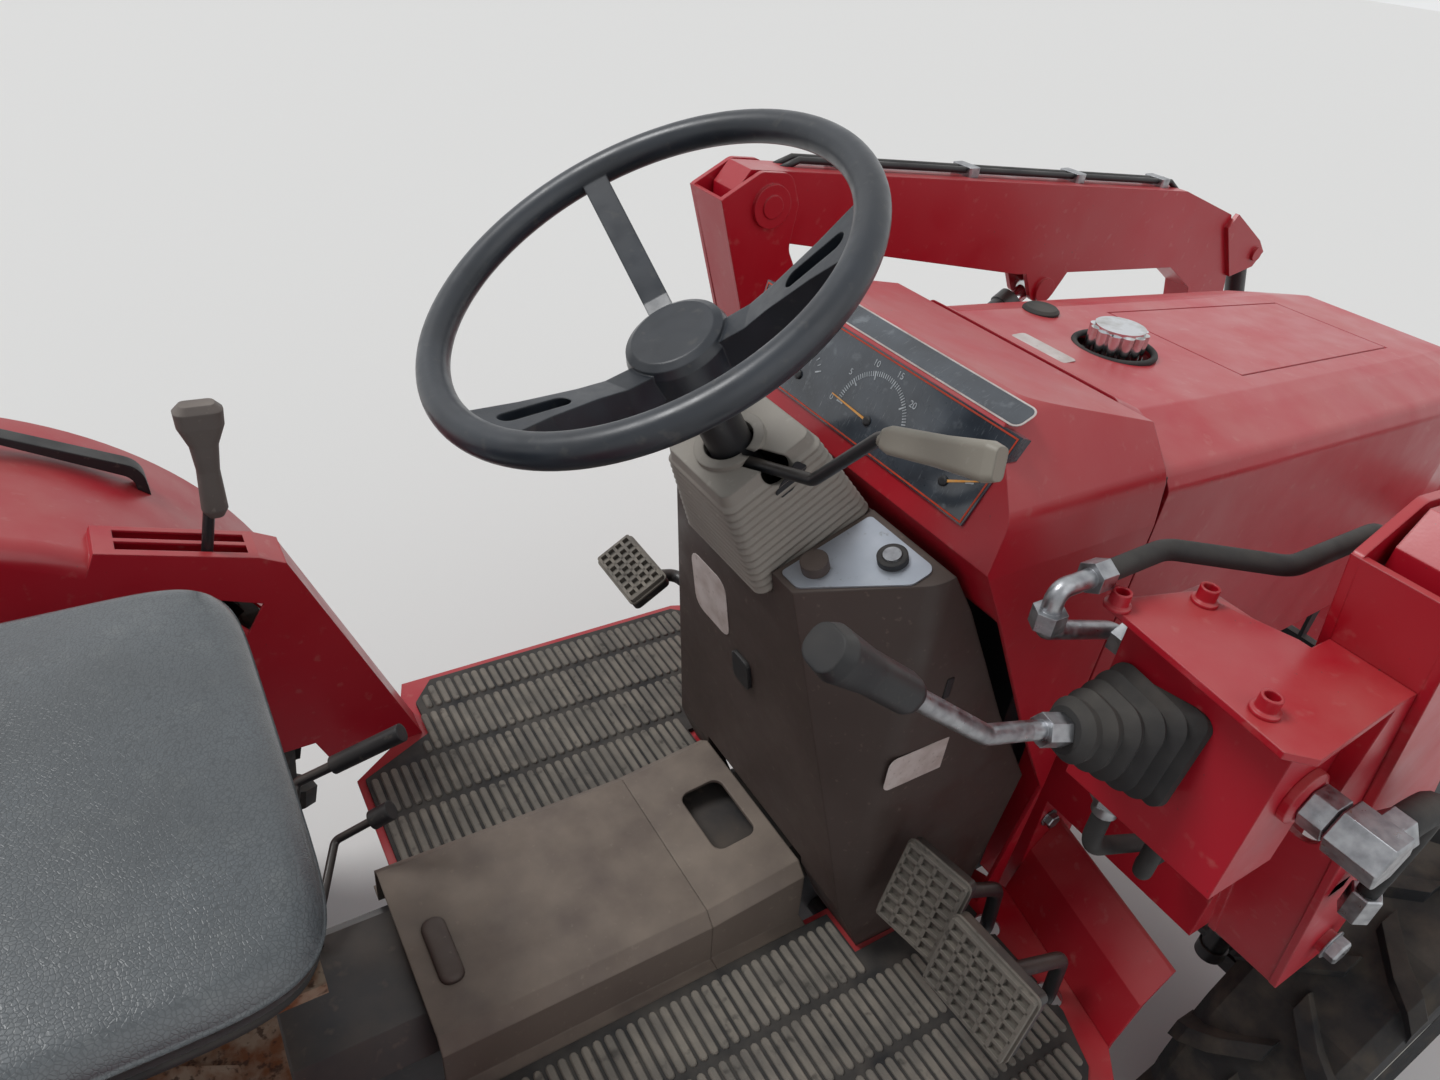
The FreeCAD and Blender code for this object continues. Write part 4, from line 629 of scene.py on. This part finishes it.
# Floor mats
def top_edges(node, side):
    """Outline edges of a node's top face on one side, as pairs of (x, y)."""
    mesh = frame["nodes"][node].data
    top = max(v.co.z for v in mesh.vertices)
    flat, near = 0.9, 0.0005
    seen = {}
    for p in mesh.polygons:
        if p.normal.z < flat or p.center.z < top - near or p.center.y * side < 0:
            continue
        points = [tuple(round(c, 5) for c in mesh.vertices[i].co[:2]) for i in p.vertices]
        for i, a in enumerate(points):
            b = points[(i + 1) % len(points)]
            key = (min(a, b), max(a, b))
            seen[key] = seen.get(key, 0) + 1
    return [key for key, count in seen.items() if count == 1], top


def crossings(edges, x):
    """Where the line at x crosses the outline, sorted."""
    found = []
    for (ax, ay), (bx, by) in edges:
        if (ax - x) * (bx - x) < 0:
            found.append(ay + (by - ay) * (x - ax) / (bx - ax))
    return sorted(found)


def mat_bar(x, y0, y1, z):
    """One raised bar across the mat with rounded ends and a domed top."""
    s = sizes()
    half = s.bar_width / 2
    end_steps = 4
    rings = []
    for rise, inset in ((0, 0), (s.bar_height * 0.6, 0.0004), (s.bar_height, 0.0018)):
        ring = []
        for end, sign in ((y0, -1), (y1, 1)):
            for i in range(end_steps + 1):
                a = math.pi * i / end_steps
                ring.append(Vector((x + sign * (half - inset) * math.cos(a),
                                    end - sign * half + sign * (half - inset) * math.sin(a), z + rise)))
        rings.append(ring)
    return rings_to_mesh(rings)


class TRACTOR_OT_mats(bpy.types.Operator):
    """Covers the floor mats with rows of raised bars"""
    bl_idname = "tractor.mats"
    bl_label = "Floor mats"

    def execute(self, context):
        s = sizes()
        rows = 5
        row_gap = 0.008
        margin = 0.010
        shortest = 0.02
        sunk = 0.0002
        for side, name in ((1, "left"), (-1, "right")):
            edges, top = top_edges("floor_mats", side)
            xs = [p[0] for e in edges for p in e]
            ys = [abs(p[1]) for e in edges for p in e]
            bars = []
            x = min(xs) + margin
            while x < max(xs) - margin:
                cuts = crossings(edges, x)
                for row in range(rows):
                    low = min(ys) + margin + row * (s.bar_length + row_gap)
                    span = sorted((side * low, side * (low + s.bar_length)))
                    for a, b in zip(cuts[0::2], cuts[1::2]):
                        y0 = max(a + margin, span[0])
                        y1 = min(b - margin, span[1])
                        if y1 - y0 > shortest:
                            bars.append(mat_bar(x, y0, y1, top - sunk))
                x += s.bar_pitch
            piece("mat_bars_" + name, *join(bars), "worn_rubber", "chassis", "black_rubber", smooth=False)
        return {"FINISHED"}


# Nodes that carry more than one finish
SLOPE_X = Vector((116, 0, 44)).normalized()
SLOPE_OUT = Vector((-44, 0, 116)).normalized()
SWITCH_FOOT = at(834, 0, 1012)
# On the slope from its foot: the sheet's top, where the brown knobs end, the zinc cap on the black switch
SHEET_TOP = 2.5 * MM
KNOB_END = 60 * MM
CAP_CENTRE = SLOPE_X * 94 * MM + Vector((0, -146, 0)) * MM
CAP_R = 9.5 * MM


def lever_part(c):
    """Stem, taupe grip of the range lever, or black grips of the upper and lower lever beside the seat."""
    if c.y > 0.35:
        return 1 if c.z > 0.896 else 0
    grip_start = 446 if c.z > 0.645 else 472
    return 2 if c.x > at(grip_start, 0, 0).x else 0


def switch_part(c):
    """Sheet, brown knobs, black switch or its zinc cap."""
    local = c - SWITCH_FOOT
    if local.dot(SLOPE_OUT) < SHEET_TOP:
        return 0
    if local.dot(SLOPE_X) < KNOB_END:
        return 1
    flat = local - CAP_CENTRE
    flat -= SLOPE_OUT * flat.dot(SLOPE_OUT)
    return 3 if flat.length < CAP_R else 2


def joystick_part(c):
    """Rod, or the grip beyond its foot."""
    return 1 if (c - at(735, -360, 1135)).dot(Vector((-77, 10, 62))) > -0.02 * MM else 0


# Columns: node, finishes, which finish a face takes
MIXED = (("range_lever", ("dark_paint", "taupe", "black_plastic"), lever_part),
         ("switch_plate", ("plate", "brown_plastic", "black_plastic", "zinc"), switch_part),
         ("loader_joystick", ("zinc", "black_plastic"), joystick_part),
         ("throttle_lever", ("dark_paint", "paddle"), lambda c: 1 if c.y < -0.157 else 0))


class TRACTOR_OT_levers(bpy.types.Operator):
    """Gives levers and the switch plate their separate finishes"""
    bl_idname = "tractor.levers"
    bl_label = "Levers and switch plate"

    def execute(self, context):
        for node, names, which in MIXED:
            mesh = frame["nodes"][node].data.copy()
            mesh.materials.clear()
            for name in names:
                mesh.materials.append(finish(name))
            for face in mesh.polygons:
                face.material_index = which(face.center)
            made = bpy.data.objects.new(node + "_finished", mesh)
            context.scene.collection.objects.link(made)
            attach(made, "chassis")
            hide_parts(node)
        return {"FINISHED"}


# Instrument face
GLASS_FOOT = at(956, 0, 1102)
GLASS_UP = Vector((34, 0, 88)).normalized()
GLASS_OUT = Vector((-88, 0, 34)).normalized()
GLASS_RIGHT = Vector(RIGHT)
GLASS_HEIGHT = 94.3
# The acrylic face stands proud of the cowl round it: its lift at its foot and at its top
FACE_LIFT = (3.4, 5.0)
# Dials.  Columns: middle's y and height, radius, first and last angle, steps, long every, needle angle, reach
DIALS = ((-30, 28, 50, 180, 8, 50, 10, 177, 60),
         (-146, 24, 34, 150, 25, 10, 5, 28, 40),
         (88, 26, 34, 155, 30, 10, 5, 120, 30))


def on_glass(y, up, lift=0.2):
    """A place on the acrylic face, in millimetres from the middle of its foot."""
    face = FACE_LIFT[0] + (FACE_LIFT[1] - FACE_LIFT[0]) * up / GLASS_HEIGHT
    return GLASS_FOOT + (Vector((0, y, 0)) + GLASS_UP * up + GLASS_OUT * (face + lift)) * MM


def spoke(y, up, angle, r0, r1, w0, w1, lift=0.2):
    """A flat mark along a radius of a dial."""
    c, s = math.cos(math.radians(angle)), math.sin(math.radians(angle))
    corners = [(r0, -w0 / 2), (r1, -w1 / 2), (r1, w1 / 2), (r0, w0 / 2)]
    flat = [(y - r * c - w * s, up + r * s - w * c) for r, w in corners]
    return rings_to_mesh([[on_glass(*place, lift + h) for place in flat] for h in (0, 0.3)])


class TRACTOR_OT_dials(bpy.types.Operator):
    """Draws the dials, their plain numbers and needles, the strip above and the sealing line"""
    bl_idname = "tractor.dials"
    bl_label = "Instrument face"

    def execute(self, context):
        corners = [(186.2, -0.2), (-186.2, -0.2), (-198.2, GLASS_HEIGHT), (198.2, GLASS_HEIGHT)]
        rings = [[on_glass(y, up, lift) for y, up in corners] for lift in (-2.0, 0.0)]
        piece("dial_face", *rings_to_mesh(rings), "smoked_glass", "chassis", "smoked_glass", smooth=False)
        marks = []
        needles = []
        for y, up, r, first, last, steps, every, needle, reach in DIALS:
            for i in range(steps + 1):
                angle = first + (last - first) * i / steps
                length, width = (9, 1.5) if i % every == 0 else (5, 1.0)
                marks.append(spoke(y, up, angle, r - length, r, width, width))
            needles.append(spoke(y, up, needle, 4, reach, 2.6, 1.2, 0.7))
        piece("dial_marks", *join(marks), "ink", "chassis", smooth=False)
        piece("dial_needles", *join(needles), "needle", "chassis", smooth=False)
        hub = [(5, 0), (5, 1.6), (3.5, 2.2), (0, 2.2)]
        hubs = [turned(hub, on_glass(y, up), GLASS_OUT, 24) for y, up, *_ in DIALS]
        piece("dial_hubs", *join(hubs), "black_plastic", "chassis", smooth=False)
        y, up, r, first, last = DIALS[0][:5]
        spans, per_span, down = 5, 5, 3.5
        for i in range(spans + 1):
            a = math.radians(first + (last - first) * i / spans)
            text = str(per_span * i)
            self.number(context, text, y - (r + 9) * math.cos(a), up - down + (r + 8) * math.sin(a))
        self.border()
        self.strip()
        return {"FINISHED"}

    def number(self, context, text, y, up):
        """One plain number on the rev counter."""
        letters = bpy.data.curves.new("dial_number_" + text, "FONT")
        letters.body = text
        letters.size = 9.5 * MM
        letters.align_x = "CENTER"
        letters.extrude = 0.1 * MM
        letters.materials.append(finish("ink"))
        made = bpy.data.objects.new("dial_number_" + text, letters)
        context.scene.collection.objects.link(made)
        turn = Matrix((GLASS_RIGHT, GLASS_UP, GLASS_OUT)).transposed().to_4x4()
        made.matrix_world = Matrix.Translation(on_glass(y, up, 0.4)) @ turn
        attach(made, "chassis")

    def border(self):
        """The thin sealing line round the face."""
        corners = [(-183, 3), (183, 3), (194, 91), (-194, 91)]
        half_w, half_h, half_up, width = 190, 44, 47, 1.6
        rings = []
        for grow, lift in ((0, 0.1), (0, 0.6), (width, 0.6), (width, 0.1)):
            wider, taller = 1 + grow / half_w, 1 + grow / half_h
            rings.append([on_glass(y * wider, half_up + (up - half_up) * taller, lift) for y, up in corners])
        piece("face_sealing_line", *rings_to_mesh(rings, closed_loop=True), "seal", "chassis", smooth=False)

    def strip(self):
        """The narrow window above the face, with its pale rim."""
        ahead = Vector((33, 0, 15)).normalized()
        centre = at(1003, 0, 1199.6)
        for name, grow, coat, thick in (("strip_rim", 2.0, "blank", 0.7),
                                        ("strip_window", 0.0, "smoked_glass", 1.0)):
            outline = round_rect(184 + grow, 12.5 + grow, 7 + grow)
            piece(name, *slab(centre, GLASS_RIGHT, ahead, outline, thick, 0.1), coat, "chassis", smooth=False)


# Pedal treads.  Columns: name, place, width, height, yaw, lean, cells across, cells up
PADS = (("brake_tread_left", (978, -262, 640), 84, 112, 10, 75, 4, 7),
        ("brake_tread_right", (962, -372, 640), 116, 100, 3, 80, 6, 6),
        ("clutch_tread", (892, 301, 738), 112, 60, 0, 32, 7, 4))


class TRACTOR_OT_treads(bpy.types.Operator):
    """Covers the pedal plates with rubber treads of square cells"""
    bl_idname = "tractor.treads"
    bl_label = "Pedal treads"

    def execute(self, context):
        # The pedal's half thickness, rubber past its edge, web, half a bar's width, its height and start
        plate_half, over, web, bar, bar_height, bar_start = 5.2, 1.5, 3.2, 2.4, 6.2, 3.0
        for name, place, width, height, yaw, lean, across, up in PADS:
            tip = Matrix.Rotation(math.radians(90 - lean), 4, "Y")
            turn = Matrix.Rotation(math.radians(yaw), 4, "Z") @ tip
            right = turn @ Vector(RIGHT)
            top = turn @ Vector(UP)
            centre = at(*place) + turn @ Vector((-plate_half, 0, 0)) * MM
            parts = [slab(centre, right, top, round_rect(width / 2 + over, height / 2 + over, 9), web)]
            for count, size, other, flip in ((across, width, height, False), (up, height, width, True)):
                for i in range(count + 1):
                    offset = (i / count - 0.5) * (size - 8)
                    half_a, half_b = (other / 2 - 3, bar) if flip else (bar, other / 2 - 3)
                    shift = right * (0 if flip else offset) + top * (offset if flip else 0)
                    outline = round_rect(half_a, half_b, 1.2, 2)
                    parts.append(slab(centre + shift * MM, right, top, outline, bar_height, bar_start))
            piece(name, *join(parts), "worn_rubber", "chassis", "black_rubber", smooth=False, bevel=0.0006)
        return {"FINISHED"}


# Bolts of the left side, mirrored too.  Columns: body, node, y outside it, then x, z and across flats
BOLTS = (
    ("chassis", "loader_masts", 560, ((1149, 1194, 36), (1300, 690, 27))),
    ("chassis", "loader_masts", 250, ((1232, 480, 19), (1282, 480, 19), (1232, 600, 19), (1282, 600, 19))),
    ("chassis", "roll_bar", 380, ((-140, 600, 24), (-140, 490, 24), (-70, 560, 24), (36, 528, 24))),
    ("chassis", "front_frame", 200, ((1440, 480, 19), (1500, 480, 19), (1930, 470, 19), (2030, 470, 19))),
    ("boom", "loader_boom", 560, ((1780, 1003, 22), (2400, 1018, 22))),
    ("scoop", "bucket", 560, ((2640, 525, 22), (2560, 185, 27))))


class TRACTOR_OT_fasteners(bpy.types.Operator):
    """Seats hexagon bolts on the pins and brackets, and nuts on the wheels"""
    bl_idname = "tractor.fasteners"
    bl_label = "Bolts and wheel nuts"

    def execute(self, context):
        heads = {}
        for side in (1, -1):
            out = Vector((0, side, 0))
            for body, node, y, places in BOLTS:
                for x, z, flats in places:
                    head = hex_bolt(surface(node, at(x, y * side, z), -out), out, flats)
                    heads.setdefault(body, []).append(head)
        outside = 300
        # Columns: wheel, circle radius, nuts, across flats
        for wheel, radius, count, flats in (("rear", 74, 8, 22), ("front", 57, 6, 19)):
            for side, hand in ((1, "left"), (-1, "right")):
                name = wheel + "_rim_" + hand
                centre = middle(name)
                centre.z = middle(wheel + "_tyre_left").z
                nuts = heads.setdefault(wheel + "_wheel_" + hand, [])
                for i in range(count):
                    a = math.tau * (i + 0.5) / count
                    start = centre + Vector((radius * math.cos(a), outside * side, radius * math.sin(a))) * MM
                    nuts.append(hex_bolt(surface(name, start, (0, -side, 0)), (0, side, 0), flats))
        for body, parts in heads.items():
            piece("bolts_" + body, *join(parts), "zinc", body, "grey_metal", smooth=False, bevel=0.0005)
        return {"FINISHED"}


# How the pedestal's rear face and the boot's right face lean
FACE_UP, BOOT_RIGHT, BOOT_UP = (-0.19, 0, 0.98), (0.86, 0, -0.5), (0.5, 0, 0.86)
# Blank plates.  Columns: name, node, point off it, direction in, right, up, half width and height, finish
PLATES = (
    ("plate_hood", "hood", (1259, 18, 1250), DOWN, RIGHT, AHEAD, 42, 12, "blank"),
    ("plate_pedestal_rear", "pedestal", (700, 60, 880), AHEAD, RIGHT, FACE_UP, 38, 44, "blank"),
    ("plate_pedestal_side", "pedestal", (975, -400, 800), LEFT, AHEAD, UP, 46, 24, "blank"),
    # A dark plate of black nylon: painted shade for the opening of the pedestal's slot
    ("slot_pedestal_side_painted_shade", "pedestal", (985, -400, 905), LEFT, AHEAD, UP, 5, 14, "black_plastic"),
    ("latch_pedestal", "pedestal", (700, -4, 812), AHEAD, RIGHT, FACE_UP, 17, 22, "black_plastic"),
    # A dark plate of black nylon: painted shade for the opening of the boot's slot
    ("boot_slot_painted_shade", "column_boot", (852, -200, 1104), LEFT, BOOT_RIGHT, BOOT_UP, 9, 19, "black_plastic"))


class TRACTOR_OT_trim(bpy.types.Operator):
    """Adds blank plates, rubber buffers, socket bolts, dark plates as painted shade in slots, and the
    loader's hard lines
    """
    bl_idname = "tractor.trim"
    bl_label = "Trim"

    def execute(self, context):
        # Rubber buffer and grommet on the hood
        place = surface("hood", at(1371, 124, 1200), DOWN)
        buffer = turned([(24, 0), (24, 3), (20, 6.5), (0, 7)], place, UP, 40)
        ring = self.ring(at(1366, 0, 1139), 47.5, 4.0)
        piece("hood_buffer", *buffer, "black_rubber", "bonnet", "black_rubber", bevel=0.0008)
        piece("filler_grommet", *ring, "black_rubber", "bonnet", "black_rubber")
        for name, node, start, inward, right, up, half_w, half_h, coat in PLATES:
            outline = round_rect(half_w, half_h, min(half_w, half_h) * 0.45)
            place = surface(node, at(*start), inward)
            thick = 5.0 if name == "latch_pedestal" else 0.8
            body = "bonnet" if node == "hood" else "chassis"
            piece(name, *slab(place, right, up, outline, thick, 0.1), coat, body, smooth=False, bevel=0.0006)
        # Moulded ridge on the tunnel
        place = surface("tunnel_cover", at(500, -20, 700), DOWN)
        ridge = [[place + Vector((a, b, h)) * MM for a, b in round_rect(14 * k, 44 * k, 12 * k)]
                 for k, h in ((1.0, 0), (0.97, 4), (0.86, 6.5), (0.6, 7.5))]
        piece("tunnel_ridge", *rings_to_mesh(ridge), "brown_plastic", "chassis", "brown_plastic")
        # Socket bolts of the valve cover, open tubes in its own enamel
        tube = [(11, 0), (11, 3), (8, 4), (8, 15), (5.5, 15), (5.5, 6), (0, 6)]
        tubes = []
        for x, y in ((966, -345), (1040, -372), (967, -474)):
            tubes.append(turned(tube, surface("valve_cover", at(x, y, 1300), DOWN), UP, 28))
        piece("valve_cover_bolts", *join(tubes), "red_paint", "chassis", "red_paint", False, 0.0004)
        self.side_port()
        self.hard_lines()
        return {"FINISHED"}

    def ring(self, centre, radius, thick, around=48):
        """A round rubber ring."""
        rings = []
        for i in range(around):
            a = math.tau * i / around
            out = Vector((math.cos(a), math.sin(a), 0))
            rings.append([centre + (out * (radius + b) + Vector((0, 0, c))) * MM
                          for b, c in round_section(thick, 10)])
        return rings_to_mesh(rings, closed_loop=True)

    def side_port(self):
        """A big hexagon adaptor on the valve's right face, and its sleeved hose to a clip on the mast."""
        # Out of the port: boss, throat and big hexagon, and an elbow forward to the hose's nut
        out = Vector(RIGHT)
        port = surface("loader_valve", at(1036, -700, 1030), -out)
        boss = turned([(25, 0), (25, 7), (20, 10), (0, 10)], port, out)
        steel = [hex_prism(port + out * 10 * MM, out, 34, 22), hex_prism(port + out * 33 * MM, out, 42, 42)]
        elbow = port + out * 56 * MM
        steel.append(hex_prism(elbow + Vector((18, 0, 0)) * MM, AHEAD, 30, 22))
        start = elbow + Vector((38, 0, 0)) * MM
        clip = surface("loader_masts", at(1214, -700, 850), -out)
        end = clip + out * 20 * MM
        leaves, arrives = start + Vector((90, 0, -4)) * MM, end + Vector((0, -6, 130)) * MM
        route = interpolate_bezier(start, leaves, arrives, end, 40)
        sleeve = sweep(route[:12], lambda share: round_section(13.5 + 0.9 * math.sin(share * math.tau * 5.5)))
        hose = sweep(route, round_section(9.5))
        steel.append(hex_prism(end, DOWN, 26, 34))
        steel.append(slab(clip + Vector((0, 0, -17)) * MM, (-1, 0, 0), UP, round_rect(14, 9, 3), 20))
        piece("valve_port_boss", *boss, "red_paint", "chassis", "red_paint", False, 0.0006)
        piece("valve_port_adaptor", *join(steel), "zinc", "chassis", "grey_metal", False, 0.0006)
        piece("valve_port_hose", *join([sleeve, hose]), "black_rubber", "chassis", "black_rubber")

    def hard_lines(self):
        """Two steel lines along the top of each arm, held by clamps."""
        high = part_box("loader_boom")[1]
        first, last, above = 1190, 2120, 2.0
        lines = []
        clamps = []
        for side in (1, -1):
            arm_y = (high.y - 33 * MM) * side

            def arm_top(x):
                return surface("loader_boom", Vector((at(x, 0, 0).x, arm_y, above)), DOWN)

            for offset in (-9, 9):
                points = []
                for x in range(first, last + 1, 30):
                    rise = 9 if first < x < last else -4
                    points.append(Vector((at(x, 0, 0).x, arm_y + offset * MM, arm_top(x).z + rise * MM)))
                lines.append(sweep(points, round_section(5, 10)))
            for x in (1300, 1560, 1820, 2060):
                clamps.append(slab(arm_top(x), AHEAD, LEFT, round_rect(11, 22, 4), 15.5))
        piece("arm_lines", *join(lines), "black_plastic", "boom", "dark_paint")
        piece("arm_line_clamps", *join(clamps), "zinc", "boom", "grey_metal", False, 0.0008)


# Stage
class TRACTOR_OT_stage(bpy.types.Operator):
    """Floor, lights and the camera at the photograph's viewing angle"""
    bl_idname = "tractor.stage"
    bl_label = "Stage"

    def execute(self, context):
        self.floor(context)
        self.lights(context)
        self.camera(context)
        return {"FINISHED"}

    def floor(self, context):
        mesh = bpy.data.meshes.new("floor")
        far = 40.0
        mesh.from_pydata([(-far, -far, 0), (far, -far, 0), (far, far, 0), (-far, far, 0)], [], [(0, 1, 2, 3)])
        ground = bpy.data.objects.new("floor", mesh)
        context.scene.collection.objects.link(ground)
        colour = tuple(context.scene.tractor_look.floor) + (1.0,)
        mesh.materials.append(begin("pale_studio_floor", Roughness=0.9, Base_Color=colour)[0])

    def lights(self, context):
        world = bpy.data.worlds.new("studio")
        world.use_nodes = True
        context.scene.world = world
        tree = world.node_tree
        tree.nodes.clear()
        path = add(tree, "ShaderNodeLightPath")
        rays = {0: path.outputs["Is Camera Ray"], 1: path.outputs["Is Glossy Ray"]}
        seen = add(tree, "ShaderNodeMath", rays, operation="MAXIMUM").outputs[0]
        dim = add(tree, "ShaderNodeBackground", {"Color": (0.93, 0.96, 1.0, 1), "Strength": 0.42})
        bright = add(tree, "ShaderNodeBackground", {"Color": (0.90, 0.91, 0.92, 1), "Strength": 0.9})
        mixed = add(tree, "ShaderNodeMixShader", {0: seen, 1: dim.outputs[0], 2: bright.outputs[0]})
        add(tree, "ShaderNodeOutputWorld", {"Surface": mixed.outputs[0]})
        # Columns: name, direction it comes from, strength, spread in degrees
        for name, source, power, spread in (("key", (-0.55, 0.45, 1.0), 1.55, 22),
                                            ("fill", (0.2, -1.0, 0.7), 0.45, 60)):
            lamp = bpy.data.lights.new(name, "SUN")
            lamp.energy = power
            lamp.angle = math.radians(spread)
            holder = bpy.data.objects.new(name, lamp)
            context.scene.collection.objects.link(holder)
            holder.location = Vector(source) * 6
            holder.rotation_mode = "QUATERNION"
            holder.rotation_quaternion = (-Vector(source)).to_track_quat("-Z", "Y")

    def camera(self, context):
        """The photograph's camera: where it stood and what it looked along, in numbers from a fit."""
        data = bpy.data.cameras.new("camera")
        # Focal length in millimetres on a 36 mm wide sensor
        data.sensor_width = 36.0
        data.lens = 24.485
        data.clip_start = 0.02
        data.clip_end = 200.0
        holder = bpy.data.objects.new("camera", data)
        context.scene.collection.objects.link(holder)
        ahead = Vector((0.4749, 0.6774, -0.5618)).normalized()
        right = Vector((0.8511, -0.5158, 0.0975))
        right = (right - ahead * right.dot(ahead)).normalized()
        up = right.cross(ahead)
        turn = Matrix((right, up, -ahead)).transposed().to_4x4()
        holder.matrix_world = Matrix.Translation(Vector((-0.8024, -0.6778, 1.5663))) @ turn
        context.scene.camera = holder


class TRACTOR_PT_panel(bpy.types.Panel):
    """Lists the steps and their sizes"""
    bl_idname = "TRACTOR_PT_panel"
    bl_label = "Tractor"
    bl_space_type = "VIEW_3D"
    bl_region_type = "UI"
    bl_category = "Tractor"

    def draw(self, context):
        for step in STEPS:
            self.layout.operator(step.bl_idname)
        for group in (context.scene.tractor_sizes, context.scene.tractor_look):
            for name in group.__annotations__:
                self.layout.prop(group, name)


STEPS = (TRACTOR_OT_stage, TRACTOR_OT_paint, TRACTOR_OT_levers, TRACTOR_OT_seat, TRACTOR_OT_mats,
         TRACTOR_OT_dials, TRACTOR_OT_treads, TRACTOR_OT_fasteners, TRACTOR_OT_trim)
CLASSES = (TractorSizes, TractorLook) + STEPS + (TRACTOR_PT_panel,)


def register():
    for cls in CLASSES:
        bpy.utils.register_class(cls)
    bpy.types.Scene.tractor_sizes = PointerProperty(type=TractorSizes)
    bpy.types.Scene.tractor_look = PointerProperty(type=TractorLook)


def unregister():
    del bpy.types.Scene.tractor_look
    del bpy.types.Scene.tractor_sizes
    for cls in reversed(CLASSES):
        bpy.utils.unregister_class(cls)


def main():
    register()
    bpy.context.scene.view_settings.view_transform = "Standard"
    for step in STEPS:
        group, name = step.bl_idname.split(".")
        getattr(getattr(bpy.ops, group), name)()


if __name__ == "__main__":
    main()
